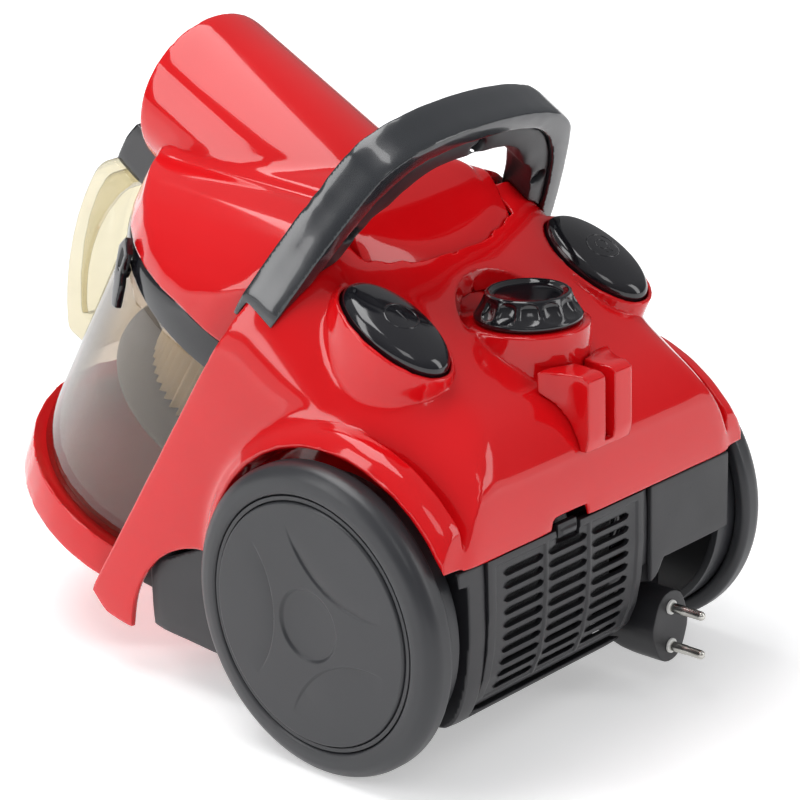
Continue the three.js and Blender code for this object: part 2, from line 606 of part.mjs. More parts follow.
function buildWheel(sideName, side) {
  const frame = acrossFrame(0, AXLE_Z);
  // the lathe starts at +y of this frame, so half a step of turn puts a flat tread facet at the bottom
  const turnHalfStep = new THREE.Matrix4().makeRotationZ(Math.PI / TYRE_SEGMENTS + Math.PI / 2);
  const treadFrame = new THREE.Matrix4().multiplyMatrices(frame, turnHalfStep);
  const put = (body) => (side > 0 ? body : mirrored(body));
  const tyre = turned(tyreProfile, { frame: treadFrame, segments: TYRE_SEGMENTS });
  const disc = turned([
    [5.6, WHEEL_INNER_X], [12, WHEEL_INNER_X], [12, 104], [59, 104], [59, 91], [62.6, 91],
    [62.6, 107.6], [56, 107.6], [56, 112.5], [5.6, 112.5], [5.6, WHEEL_INNER_X],
  ], { frame, segments: ROUND });
  const cap = turned([
    [0, 112.9], [54.8, 112.9], [54.8, 117.2], [18, WHEEL_OUTER_X], [16.6, 116.4], [0, 116.1],
  ], { frame, segments: ROUND });
  const collar = rod(8, 80, 83.6, { frame, segments: 16 });
  const axle = rod(5, 80, 112.4, { frame, segments: 16 }).add(collar);
  add(`${sideName}_tyre`, put(tyre), RUBBER());
  add(`${sideName}_wheel_disc`, put(disc), CHARCOAL());
  add(`${sideName}_hubcap`, put(cap), CHARCOAL());
  add(`${sideName}_axle`, put(axle), STEEL());
}

// ---------- front caster ----------
const CASTER_WHEEL_RADIUS = 11.5;
const CASTER_TRAIL = 6;

function buildCaster() {
  const wheelY = CASTER_Y + CASTER_TRAIL;
  const plate = rod(11, CASTER_TOP - 3.4, CASTER_TOP - GAP, { y: CASTER_Y, segments: 24 });
  const stem = rod(3.7, CASTER_TOP - 2, CASTER_TOP + 12, { y: CASTER_Y, segments: 12 });
  const cheek = new THREE.Shape();
  cheek.moveTo(CASTER_Y - 8, CASTER_TOP - 1.5);
  cheek.lineTo(CASTER_Y + 9, CASTER_TOP - 1.5);
  cheek.lineTo(wheelY + 5, 11.5);
  cheek.absarc(wheelY, 11.5, 5, 0, -Math.PI, true);
  const ears = alongX(cheek, -10.2, -7.2, WORLD, 3).add(alongX(cheek, 7.2, 10.2, WORLD, 3));
  const pinHole = rod(1.9, -20, 20, { frame: acrossFrame(wheelY, CASTER_WHEEL_RADIUS), segments: 16 });
  const neck = box(-10.2, 10.2, CASTER_Y - 7, CASTER_Y + 8, CASTER_TOP - 3.4, CASTER_TOP - 1.5);
  const fork = plate.add(stem).add(neck).add(ears).subtract(pinHole);
  add('caster_fork', fork, CHARCOAL());
  const axle = acrossFrame(wheelY, CASTER_WHEEL_RADIUS);
  add('caster_pin', rod(1.6, -10, 10, { frame: axle, segments: 16 }), STEEL());
  const wheel = turned([
    [2.0, -6.6], [9.5, -6.6], [CASTER_WHEEL_RADIUS, -4.4], [CASTER_WHEEL_RADIUS, 4.4], [9.5, 6.6],
    [2.0, 6.6], [2.0, -6.6],
  ], { frame: axle, segments: 24 });
  add('caster_wheel', wheel, RUBBER());
}

// ---------- motor, fan and cord reel inside the body ----------
const MOTOR = { x: 20, z: 80, y0: -26, y1: 40, radius: 41 };
const REEL = { y: 0, z: 78, x0: -76, x1: -42, radius: 37 };

function buildMotor() {
  const frame = lengthwiseFrame(MOTOR.x, MOTOR.z);
  const can = turned([
    [0, MOTOR.y1 - 2], [28, MOTOR.y1 - 2], [28, 4], [MOTOR.radius - 2, 4], [MOTOR.radius - 2, MOTOR.y0],
    [MOTOR.radius, MOTOR.y0], [MOTOR.radius, 7], [31, 7], [31, MOTOR.y1], [0, MOTOR.y1],
  ], { frame, segments: 24 });
  add('motor_housing', can, ALUMINIUM());
  const impeller = turned([
    [0, MOTOR.y0 + 2], [36, MOTOR.y0 + 2], [36, MOTOR.y0 + 4], [12, MOTOR.y0 + 14], [4, MOTOR.y0 + 14],
    [4, MOTOR.y1 - 6], [0, MOTOR.y1 - 6],
  ], { frame, segments: 24 });
  add('fan_impeller', impeller, ALUMINIUM());
  const foot = box(MOTOR.x - 24, MOTOR.x + 24, -10, 4, FLOOR_Z + WALL + GAP, MOTOR.z - 30);
  const clear = rod(MOTOR.radius + GAP, -60, 60, { frame, segments: 24 });
  add('motor_cradle', foot.subtract(clear), CHARCOAL());
}

function buildReel() {
  const frame = acrossFrame(REEL.y, REEL.z);
  const drum = turned([
    [4.4, REEL.x0], [REEL.radius, REEL.x0], [REEL.radius, REEL.x0 + 2], [15, REEL.x0 + 2],
    [15, REEL.x1 - 2], [REEL.radius, REEL.x1 - 2], [REEL.radius, REEL.x1], [4.4, REEL.x1], [4.4, REEL.x0],
  ], { frame, segments: 24 });
  const coil = ring(15 + GAP, 33, REEL.x0 + 2 + GAP, REEL.x1 - 2 - GAP, { frame, segments: 24 });
  add('cord_reel_drum', drum, CHARCOAL());
  add('wound_cord', coil, GLOSS_BLACK());
  add('reel_axle', rod(4, REEL.x0 - 2, REEL.x1 + 14, { frame, segments: 12 }), STEEL());
  const post = box(REEL.x1 + 5, REEL.x1 + 9, -8, 8, FLOOR_Z + WALL + GAP, REEL.z + 8);
  add('reel_post', post.subtract(rod(4.4, -100, 0, { frame, segments: 12 })), CHARCOAL());
}

// ---------- parked plug ----------
const PLUG = { x: -47.3, z: 32, face: 67.9, back: 34 };
const PIN_SPACING = 19;
const PIN_RADIUS = 2.4;
const PIN_LENGTH = 19;

function buildPlug() {
  const frame = lengthwiseFrame(PLUG.x, PLUG.z);
  const face = new THREE.Shape();
  face.absarc(0, 6.5, 11, Math.PI * 0.08, Math.PI * 0.92);
  face.lineTo(-13, 2.6);
  face.lineTo(-13, -2.6);
  face.absarc(0, -6.5, 11, Math.PI * 1.08, Math.PI * 1.92);
  face.lineTo(13, -2.6);
  face.lineTo(13, 2.6);
  const shift = (shape) => alongY(shape, PLUG.back, PLUG.face).translate([PLUG.x, 0, PLUG.z]);
  const side = outline([
    [PLUG.back, -7], [PLUG.back, 7], [PLUG.face - 15, 17.6], [PLUG.face, 17.6],
    [PLUG.face, -17.6], [PLUG.face - 15, -17.6],
  ]);
  let body = shift(face).intersect(alongX(side, -100, 0).translate([0, 0, PLUG.z]));
  for (const [index, lift] of [PIN_SPACING / 2, -PIN_SPACING / 2].entries()) {
    const pin = lengthwiseFrame(PLUG.x, PLUG.z + lift);
    body = body.subtract(rod(PIN_RADIUS + GAP, PLUG.face - 8, BIG, { frame: pin, segments: 12 }));
    const shape = turned([
      [0, PLUG.face - 8 + GAP], [PIN_RADIUS, PLUG.face - 8 + GAP], [PIN_RADIUS, PLUG.face + PIN_LENGTH - 1.4],
      [PIN_RADIUS - 1, PLUG.face + PIN_LENGTH], [0, PLUG.face + PIN_LENGTH],
    ], { frame: pin, segments: 12 });
    add(`plug_pin_${index + 1}`, shape, NICKEL());
  }
  add('mains_plug', body, CHARCOAL());
  const gland = turned([
    [0, 20], [6, 20], [6, 28 + GAP], [7.4, 28 + GAP], [7.4, PLUG.back - GAP], [0, PLUG.back - GAP],
  ], { frame, segments: 16 });
  add('cord_gland', gland, GLOSS_BLACK());
}

// ---------- dust cup assembly ----------
const cupRadius = (height) =>
  CUP_RADIUS_BOTTOM + (CUP_RADIUS_TOP - CUP_RADIUS_BOTTOM) * (height - CUP_BOTTOM) / (CUP_TOP - CUP_BOTTOM);

// A plug that follows the cup's tapering wall, grown outward by the given amount.
function cupPlug(grow, top) {
  const foot = -75;
  return turned([[0, foot], [cupRadius(foot) + grow, foot], [cupRadius(top) + grow, top], [0, top]],
    { frame: CUP, segments: ROUND });
}

function rimWedge(lower) {
  // ahead of the axis the lid's rim dips, so the black band under it gets narrower
  const reach = 130;
  const dip = 0.19 * reach;
  const base = LID_BASE - lower;
  const shape = outline([[0, base], [-reach, base - dip], [-reach, 190], [0, 190]]);
  return alongX(shape, -BIG, BIG, CUP);
}

function buildDustCup() {
  const wall = 2.4;
  const aboveFoot = (height) => box(-BIG, BIG, -BIG, BIG, height, BIG, FOOT);
  const outer = cupPlug(0, CUP_TOP).intersect(aboveFoot(0));
  const inner = cupPlug(-wall, CUP_TOP + 10).intersect(aboveFoot(wall));
  add('dust_cup', outer.subtract(inner), SMOKE());
  const bandSpan = [CUP_TOP + GAP, LID_BASE - GAP];
  const band = ring(80.5, LID_RADIUS - 1, ...bandSpan, { frame: CUP, segments: ROUND });
  add('cup_band', band.subtract(rimWedge(GAP)), GLOSS_BLACK());
}

// The lid's outer form: two round lobes side by side, level on top.
function lidEnvelope(inset) {
  const round = rod(LID_RADIUS - inset, 60, 260, { frame: CUP, segments: ROUND });
  const side = new THREE.Shape();
  side.moveTo(-230, 60);
  side.lineTo(-230, 185);
  side.quadraticCurveTo(-190, 236 - inset, -150, 242 - inset);
  side.lineTo(-62, 243 - inset);
  side.bezierCurveTo(-45, 243 - inset, -37 - inset, 227 - inset, SEAM_Y - inset, SEAM_Z);
  side.lineTo(60, 80);
  const front = new THREE.Shape();
  front.moveTo(-100, 60);
  front.lineTo(100, 60);
  front.lineTo(93 - inset, 176);
  front.bezierCurveTo(92 - inset, 208, 76 - inset, 226 - inset, 50, 233.5 - inset);
  front.quadraticCurveTo(38, 240 - inset, 27, 242 - inset);
  front.lineTo(-27, 242 - inset);
  front.quadraticCurveTo(-38, 240 - inset, -50, 233.5 - inset);
  front.bezierCurveTo(inset - 76, 226 - inset, inset - 92, 208, inset - 93, 176);
  const steps = inset > 0 ? 4 : 6;
  const profile = alongX(side, -BIG, BIG, WORLD, steps);
  return round.intersect(profile).intersect(alongY(front, -BIG, BIG, LOBES, steps));
}

function tubeSolid(inset, from, to) {
  const shape = new THREE.Shape();
  shape.absellipse(0, 0, TUBE_HALF_WIDTH - inset, TUBE_HALF_HEIGHT - inset, 0, Math.PI * 2);
  return alongZ(shape, from, to, TUBE, inset > 0 ? 12 : 16);
}

function buildLid() {
  const skin = 3.5;
  const keep = cupBay(-1.2);
  const mouthFrame = new THREE.Matrix4().multiplyMatrices(TUBE, frameAt(0, 0, MOUTH_LEAN));
  const mouth = box(-BIG, BIG, -BIG, BIG, 0, BIG, mouthFrame);
  const aboveRim = box(-BIG, BIG, 0, BIG, LID_BASE, BIG, CUP).add(rimWedge(0));
  const outer = lidEnvelope(0).intersect(keep).intersect(aboveRim);
  const skirt = rod(LID_RADIUS - skin, 60, 112, { frame: CUP, segments: ROUND });
  const inner = lidEnvelope(skin).intersect(cupBay(-1.2 - skin)).add(skirt);
  const reach = 128;
  const mouthSide = box(-BIG, BIG, -BIG, -100, 100, BIG);
  const hood = new THREE.Shape();
  hood.moveTo(SEAM_Y - 1.2, 100);
  hood.lineTo(SEAM_Y - 1.2, SEAM_Z);
  hood.quadraticCurveTo(-42, 235, -74, 253);
  hood.lineTo(-90, BIG);
  hood.lineTo(-BIG, BIG);
  hood.lineTo(-BIG, 100);
  let tube = tubeSolid(0, -180, 20).subtract(mouth);
  tube = tube.intersect(alongX(hood, -BIG, BIG)).intersect(keep.add(mouthSide));
  let body = outer.add(tube.intersect(aboveRim));
  body = body.subtract(inner).subtract(tubeSolid(skin, 30 - reach, 40));
  add('lid_shell', body, RED());
}

function buildHoseSocket() {
  const plate = tubeSolid(3.5 + GAP, -20, -17);
  const sleeve = ring(HOSE_RADIUS, HOSE_RADIUS + 3, -54, -12, { frame: TUBE, segments: 24 });
  const bore = rod(HOSE_RADIUS, -100, 40, { frame: TUBE, segments: 24 });
  add('hose_socket', plate.subtract(bore).add(sleeve), CHARCOAL());
}

const PLEATS = 40;

function buildFilter() {
  const shape = new THREE.Shape();
  for (let index = 0; index < PLEATS * 2; index += 1) {
    const angle = (index / (PLEATS * 2)) * Math.PI * 2;
    const radius = index % 2 ? 47 : 53;
    const method = index ? 'lineTo' : 'moveTo';
    shape[method](radius * Math.cos(angle), radius * Math.sin(angle));
  }
  const core = new THREE.Path();
  core.absarc(0, 0, 40, 0, Math.PI * 2, true);
  shape.holes.push(core);
  add('pleated_filter', alongZ(shape, 12, 88, CUP), CREAM());
  const disc = turned([
    [0, 8], [67, 5], [69, 6], [69, 8.5], [55, 12 - GAP], [0, 12 - GAP],
  ], { frame: CUP, segments: ROUND });
  add('filter_end_disc', disc, GREY());
  const plate = ring(26, 74, 88 + GAP, 91.5, { frame: CUP, segments: 30 });
  const inlet = rod(14, 80, 100, { frame: CUP, y: -58, segments: 16 });
  add('filter_plate', plate.subtract(inlet), CHARCOAL());
}

// The grip in front of the cup, drawn as (behind the axis, up the axis).
function buildCupHandle() {
  const top = 58 - GAP;
  const grip = new THREE.Shape();
  grip.moveTo(-104, top);
  grip.lineTo(-121, top);
  grip.quadraticCurveTo(-128, 52, -128.6, 38);
  grip.bezierCurveTo(-129.5, 10, -121, -22, -104, -45);
  grip.lineTo(-82, -42);
  grip.lineTo(-82, -30);
  grip.lineTo(-99, -29);
  grip.bezierCurveTo(-114, -8, -120, 24, -104, top);
  const bow = alongX(grip, -17, 17, CUP, 7);
  const hollow = new THREE.Shape();
  hollow.moveTo(-98, 50);
  hollow.lineTo(-120, 50);
  hollow.bezierCurveTo(-128, 40, -127, 0, -103, -35);
  hollow.lineTo(-92, -24);
  const channel = alongX(hollow, -13.5, 13.5, CUP, 6);
  add('cup_grip', bow.subtract(channel).subtract(cupPlug(GAP, 100)), BEIGE_SMOKE());
}

function buildGripBracket() {
  const shape = outline([
    [-88, 62], [-88, 80], [-96, 84], [-118.5, 83], [-121, 72], [-121, 58], [-104, 58],
  ]);
  const well = box(-9.5, 9.5, -116.5, -104.5, 66, 90, CUP);
  const lidSide = rod(LID_RADIUS + GAP, 50, 120, { frame: CUP, segments: ROUND });
  add('grip_bracket', alongX(shape, -15, 15, CUP).subtract(well).subtract(lidSide), GLOSS_BLACK());
  const button = outline([[-116, 69], [-105, 69], [-105, 86], [-108, 87.5], [-116, 84.5]]);
  add('release_button', alongX(button, -9, 9, CUP), GLOSS_BLACK());
}

// The latch leans: its foot lies further back round the cup than its top.
function buildSideLatches() {
  const turn = new THREE.Matrix4().makeRotationZ(rad(-28));
  const frame = new THREE.Matrix4().multiplyMatrices(CUP, turn);
  const x = LID_RADIUS + 0.6;
  const arm = outline([
    [10, 64], [15, 67], [10, 76], [5, 81], [3, 90], [-5, 93], [-8, 85], [-1, 75], [5, 69],
  ]);
  const plate = alongX(arm, x, x + 3.4, frame);
  const window = alongX(outline([[0, 79], [3, 79], [1, 87], [-4, 88]]), x + 1.6, x + 9, frame);
  const inside = rod(89, 40, 100, { frame: CUP, segments: ROUND });
  const hook = box(x - 3, x + 3, -3, 4, 76, 81, frame).subtract(inside);
  const latch = plate.add(hook).subtract(window);
  add('left_lid_latch', latch, GLOSS_BLACK());
  add('right_lid_latch', mirrored(latch), GLOSS_BLACK());
}

buildBaseTray();
buildUpperShell();
buildFrontCradle();
buildBayWall();
add('reel_cover_panel', reelPanelSolid(0), CHARCOAL());
buildParkingHook();
buildExhaustCover();
buildExhaustFilter();
buildHandle();
buildPedal('power_pedal', 1);
buildPedal('cord_rewind_pedal', -1);
buildSwitch('power_switch', 1);
buildSwitch('reel_brake_plunger', -1);
buildDial();
buildWheel('left', 1);
buildWheel('right', -1);
buildCaster();
buildMotor();
buildReel();
buildPlug();
buildDustCup();
buildLid();
buildHoseSocket();
buildFilter();
buildCupHandle();
buildGripBracket();
buildSideLatches();

const whole = new THREE.Box3().setFromObject(root);
const middleY = (whole.min.y + whole.max.y) / 2;
for (const mesh of root.children) {
  mesh.geometry.translate(0, -middleY, 0);
}

export default root;
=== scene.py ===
import json
import math

import bmesh
import bpy
import numpy as np
from mathutils import Matrix, Vector


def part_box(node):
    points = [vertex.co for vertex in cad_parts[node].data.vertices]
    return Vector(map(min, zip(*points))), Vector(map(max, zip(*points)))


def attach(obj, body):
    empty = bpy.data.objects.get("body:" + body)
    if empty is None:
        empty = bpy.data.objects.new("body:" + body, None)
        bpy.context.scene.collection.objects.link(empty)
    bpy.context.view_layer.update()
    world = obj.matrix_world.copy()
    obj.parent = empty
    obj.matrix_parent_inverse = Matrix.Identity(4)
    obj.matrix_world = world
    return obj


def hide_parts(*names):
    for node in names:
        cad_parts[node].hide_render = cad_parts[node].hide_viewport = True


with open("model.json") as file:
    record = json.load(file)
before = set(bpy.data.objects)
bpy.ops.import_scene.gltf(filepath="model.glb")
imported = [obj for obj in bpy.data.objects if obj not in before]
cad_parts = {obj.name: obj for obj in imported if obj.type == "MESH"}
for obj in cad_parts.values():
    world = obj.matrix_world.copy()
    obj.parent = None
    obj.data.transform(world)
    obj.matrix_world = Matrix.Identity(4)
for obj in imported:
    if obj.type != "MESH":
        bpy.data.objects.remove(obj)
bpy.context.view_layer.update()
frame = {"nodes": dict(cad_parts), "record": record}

# Canister vacuum cleaner. Every CAD node is rebuilt as a finer piece: the turned, domed and pleated
# pieces from their own formulas, the moulded ones from the CAD solid by a fine remesh whose facets are
# evened out while its real edges stay. Lengths are in metres unless a name ends in _MM or _mm.

MM = 0.001
BODY_OF = {node: body for body, nodes in frame["record"]["behaviour"]["bodies"].items() for node in nodes}

# ---------- driving dimensions, the same as the CAD's ----------
SHIFT_Y = 92.983 * MM            # the CAD's own origin lies this far ahead of the model's
CUP_TILT = math.radians(34.3)
CUP_Y, CUP_Z = -154.5 * MM + SHIFT_Y, 105.4 * MM
CUP_BOTTOM, CUP_TOP = -43.9 * MM, 81 * MM
CUP_RADIUS_BOTTOM, CUP_RADIUS_TOP = 84.6 * MM, 87.4 * MM
FOOT_SLOPE = math.tan(math.radians(10))
BAND_BACK = 30 * MM
LID_BASE, LID_RADIUS = 99 * MM, 90.4 * MM
SLOPE = math.radians(34.9)
SEAM_Y, SEAM_Z = -16 * MM + SHIFT_Y, 206 * MM
PEDAL_SLOPE = SLOPE - math.radians(6)
PEDAL_X, PEDAL_Y = 67.5 * MM, 9.5 * MM + SHIFT_Y
PEDAL_HALF_WIDTH, PEDAL_HALF_LENGTH = 16.8 * MM, 29.5 * MM
DIAL_Y, DIAL_FLOOR_Z = 26 * MM + SHIFT_Y, 182.4 * MM
AXLE_Z = 70.382 * MM
PLUG_X, PLUG_Z, PLUG_FACE = -47.3 * MM, 32 * MM, 67.9 * MM + SHIFT_Y
PIN_SPACING, PIN_RADIUS, PIN_LENGTH = 19 * MM, 2.4 * MM, 19 * MM


def frame_at(y, z, lean):
    """A local frame on the centre plane, leaning forward by so many radians as its z axis goes up."""
    return Matrix.Translation((0, y, z)) @ Matrix.Rotation(lean, 4, "X")


CUP = frame_at(CUP_Y, CUP_Z, -CUP_TILT)
WHEELS = Matrix.Translation((0, SHIFT_Y, AXLE_Z)) @ Matrix.Rotation(math.radians(90), 4, "Y")
DIAL = Matrix.Translation((0, DIAL_Y, DIAL_FLOOR_Z))


# ---------- camera, light and floor ----------
def aim(thing, target):
    direction = Vector(target) - thing.location
    thing.rotation_euler = direction.to_track_quat("-Z", "Y").to_euler()


def make_camera():
    azimuth, elevation, roll = math.radians(42.98), math.radians(18.92), math.radians(-1.79)
    target = Vector((12.7, 55.58, 137.2)) * MM
    distance = 1.1836
    back = Vector((
        math.cos(azimuth) * math.cos(elevation),
        math.sin(azimuth) * math.cos(elevation),
        math.sin(elevation),
    ))
    level_right = (-back).cross(Vector((0, 0, 1))).normalized()
    level_up = level_right.cross(-back)
    right = math.cos(roll) * level_right + math.sin(roll) * level_up
    up = -math.sin(roll) * level_right + math.cos(roll) * level_up
    data = bpy.data.cameras.new("camera")
    data.sensor_width = 36
    data.lens = 117.8
    data.shift_x = -0.00525
    data.shift_y = -0.0055
    data.clip_start, data.clip_end = 0.01, 60
    camera = bpy.data.objects.new("camera", data)
    bpy.context.scene.collection.objects.link(camera)
    turn = Matrix((right, up, back)).transposed().to_4x4()
    camera.matrix_world = Matrix.Translation(target + back * distance) @ turn
    bpy.context.scene.camera = camera


def softbox(name, place, target, size, watts):
    data = bpy.data.lights.new(name, "AREA")
    data.shape = "RECTANGLE"
    data.size, data.size_y = size
    data.energy = watts
    light = bpy.data.objects.new(name, data)
    bpy.context.scene.collection.objects.link(light)
    light.location = place
    aim(light, target)


def make_studio():
    """Four softboxes that face the middle of the object, and a grey sky that is lighter overhead."""
    middle = (0, 0, 0.14)
    softbox("top_softbox", (0.15, -0.25, 1.3), middle, size=(1.0, 0.7), watts=11)
    softbox("left_strip", (1.35, -0.7, 0.8), middle, size=(0.45, 1.2), watts=8)
    softbox("right_strip", (-0.8, 1.4, 0.8), middle, size=(0.45, 1.2), watts=6)
    softbox("front_fill", (1.3, 1.3, 1.7), middle, size=(0.7, 0.7), watts=4)
    world = bpy.data.worlds.new("studio")
    world.use_nodes = True
    tree = world.node_tree
    background = tree.nodes["Background"]
    way = tree.nodes.new("ShaderNodeTexCoord")
    parts = tree.nodes.new("ShaderNodeSeparateXYZ")
    tree.links.new(way.outputs["Generated"], parts.inputs["Vector"])
    height = remap(tree, parts.outputs["Z"], 0, 1, start=-0.05, end=0.75)
    sky = mix_colour(tree, height, (0.16, 0.16, 0.165), (0.42, 0.42, 0.43))
    tree.links.new(sky, background.inputs["Color"])
    background.inputs["Strength"].default_value = 1.0
    bpy.context.scene.world = world
    bpy.context.scene.view_settings.view_transform = "Standard"


# ---------- materials ----------
def new_material(name):
    material = bpy.data.materials.new(name)
    material.use_nodes = True
    tree = material.node_tree
    shader = tree.nodes["Principled BSDF"]
    return material, tree, shader


def noise(tree, scale, detail=3, stretch=(1, 1, 1), roughness=0.5):
    """Noise in the object's own metres: scale is the number of patches in a metre."""
    place = tree.nodes.new("ShaderNodeTexCoord")
    mapping = tree.nodes.new("ShaderNodeMapping")
    mapping.inputs["Scale"].default_value = stretch
    tree.links.new(place.outputs["Object"], mapping.inputs["Vector"])
    texture = tree.nodes.new("ShaderNodeTexNoise")
    texture.inputs["Scale"].default_value = scale
    texture.inputs["Detail"].default_value = detail
    texture.inputs["Roughness"].default_value = roughness
    tree.links.new(mapping.outputs["Vector"], texture.inputs["Vector"])
    return texture.outputs["Fac"]


def remap(tree, value, low, high, start=0.3, end=0.7):
    node = tree.nodes.new("ShaderNodeMapRange")
    node.inputs["From Min"].default_value = start
    node.inputs["From Max"].default_value = end
    node.inputs["To Min"].default_value = low
    node.inputs["To Max"].default_value = high
    tree.links.new(value, node.inputs["Value"])
    return node.outputs["Result"]


def mix_colour(tree, factor, first, second):
    node = tree.nodes.new("ShaderNodeMix")
    node.data_type = "RGBA"
    node.inputs["A"].default_value = (*first, 1)
    node.inputs["B"].default_value = (*second, 1)
    tree.links.new(factor, node.inputs["Factor"])
    return node.outputs["Result"]


def add(tree, first, second):
    node = tree.nodes.new("ShaderNodeMath")
    node.operation = "ADD"
    tree.links.new(first, node.inputs[0])
    tree.links.new(second, node.inputs[1])
    return node.outputs["Value"]


def bump(tree, shader, height, depth_mm):
    node = tree.nodes.new("ShaderNodeBump")
    node.inputs["Strength"].default_value = 1
    node.inputs["Distance"].default_value = depth_mm * MM
    tree.links.new(height, node.inputs["Height"])
    tree.links.new(node.outputs["Normal"], shader.inputs["Normal"])


def fine_scratches(tree, depth):
    """Hairline wear, strongest in a few patches: a number to add to roughness."""
    lines = noise(tree, scale=260, detail=2, stretch=(1, 14, 3))
    patches = noise(tree, scale=22, detail=2)
    sharp = remap(tree, lines, 0, 1, start=0.66, end=0.72)
    where = remap(tree, patches, 0, depth, start=0.5, end=0.68)
    node = tree.nodes.new("ShaderNodeMath")
    node.operation = "MULTIPLY"
    tree.links.new(sharp, node.inputs[0])
    tree.links.new(where, node.inputs[1])
    return node.outputs["Value"]


def moulded_plastic(name, dark, light, rough, grain_scale, grain_mm, coat=0.0, specular=0.5):
    """Injection-moulded plastic: a faint drift of colour, uneven gloss, hairline wear and its grain."""
    material, tree, shader = new_material(name)
    drift = noise(tree, scale=9, detail=4)
    tree.links.new(mix_colour(tree, remap(tree, drift, 0, 1), dark, light), shader.inputs["Base Color"])
    gloss = remap(tree, noise(tree, scale=35, detail=4), rough[0], rough[1])
    tree.links.new(add(tree, gloss, fine_scratches(tree, 0.12)), shader.inputs["Roughness"])
    bump(tree, shader, noise(tree, grain_scale, detail=2), grain_mm)
    shader.inputs["Specular IOR Level"].default_value = specular
    shader.inputs["Coat Weight"].default_value = coat
    shader.inputs["Coat Roughness"].default_value = 0.04
    return material


def clear_plastic(name, thin, thick, rough):
    """Tinted clear plastic: straight sight through it, and a gloss that grows at grazing angles."""
    material, tree, shader = new_material(name)
    tree.nodes.remove(shader)
    see_through = tree.nodes.new("ShaderNodeBsdfTransparent")
    cloud = remap(tree, noise(tree, scale=14, detail=3), 0, 1)
    edge = tree.nodes.new("ShaderNodeLayerWeight")
    edge.inputs["Blend"].default_value = 0.5
    tint = tree.nodes.new("ShaderNodeMix")
    tint.data_type = "RGBA"
    tree.links.new(remap(tree, edge.outputs["Facing"], 0, 1, start=0.62, end=1), tint.inputs["Factor"])
    tree.links.new(mix_colour(tree, cloud, thin, thick), tint.inputs["A"])
    rim_tint = [0.3 * shade for shade in thick]
    tint.inputs["B"].default_value = (*rim_tint, 1)
    tree.links.new(tint.outputs["Result"], see_through.inputs["Color"])
    gloss = tree.nodes.new("ShaderNodeBsdfGlossy")
    gloss.inputs["Color"].default_value = (1, 1, 1, 1)
    haze = remap(tree, noise(tree, scale=40, detail=4), rough, rough + 0.05)
    tree.links.new(haze, gloss.inputs["Roughness"])
    steep = tree.nodes.new("ShaderNodeMath")
    steep.operation = "POWER"
    steep.inputs[1].default_value = 4
    tree.links.new(edge.outputs["Facing"], steep.inputs[0])
    blend = tree.nodes.new("ShaderNodeMixShader")
    share = remap(tree, steep.outputs["Value"], 0.04, 0.75, start=0, end=1)
    tree.links.new(share, blend.inputs["Fac"])
    tree.links.new(see_through.outputs["BSDF"], blend.inputs[1])
    tree.links.new(gloss.outputs["BSDF"], blend.inputs[2])
    tree.links.new(blend.outputs["Shader"], tree.nodes["Material Output"].inputs["Surface"])
    return material


def metal(name, dark, light, rough, stretch):
    material, tree, shader = new_material(name)
    shader.inputs["Metallic"].default_value = 1
    streaks = noise(tree, 500, 3, stretch=stretch)
    tree.links.new(mix_colour(tree, remap(tree, streaks, 0, 1), dark, light), shader.inputs["Base Color"])
    tree.links.new(remap(tree, streaks, rough[0], rough[1]), shader.inputs["Roughness"])
    bump(tree, shader, streaks, 0.01)
    return material


def fibrous(name, dark, light, scale, depth_mm):
    """Paper, felt or foam: matt, with its fibres or cells in colour and in relief."""
    material, tree, shader = new_material(name)
    fibres = noise(tree, scale, 5, roughness=0.65)
    tree.links.new(mix_colour(tree, remap(tree, fibres, 0, 1), dark, light), shader.inputs["Base Color"])
    tree.links.new(remap(tree, fibres, 0.85, 0.97), shader.inputs["Roughness"])
    bump(tree, shader, fibres, depth_mm)
    shader.inputs["Sheen Weight"].default_value = 0.15
    return material


def studio_floor():
    """A pale matt floor that glows a little, and more further out, as the lit sweep of a studio does."""
    material = moulded_plastic(
        "pale floor", (0.90, 0.90, 0.90), (0.93, 0.93, 0.93), rough=(0.6, 0.7),
        grain_scale=300, grain_mm=0.02)
    tree = material.node_tree
    shader = tree.nodes["Principled BSDF"]
    place = tree.nodes.new("ShaderNodeTexCoord")
    length = tree.nodes.new("ShaderNodeVectorMath")
    length.operation = "LENGTH"
    tree.links.new(place.outputs["Object"], length.inputs[0])
    glow = remap(tree, length.outputs["Value"], 0.38, 0.95, start=0.3, end=1.7)
    tree.links.new(glow, shader.inputs["Emission Strength"])
    shader.inputs["Emission Color"].default_value = (1, 1, 1, 1)
    return material


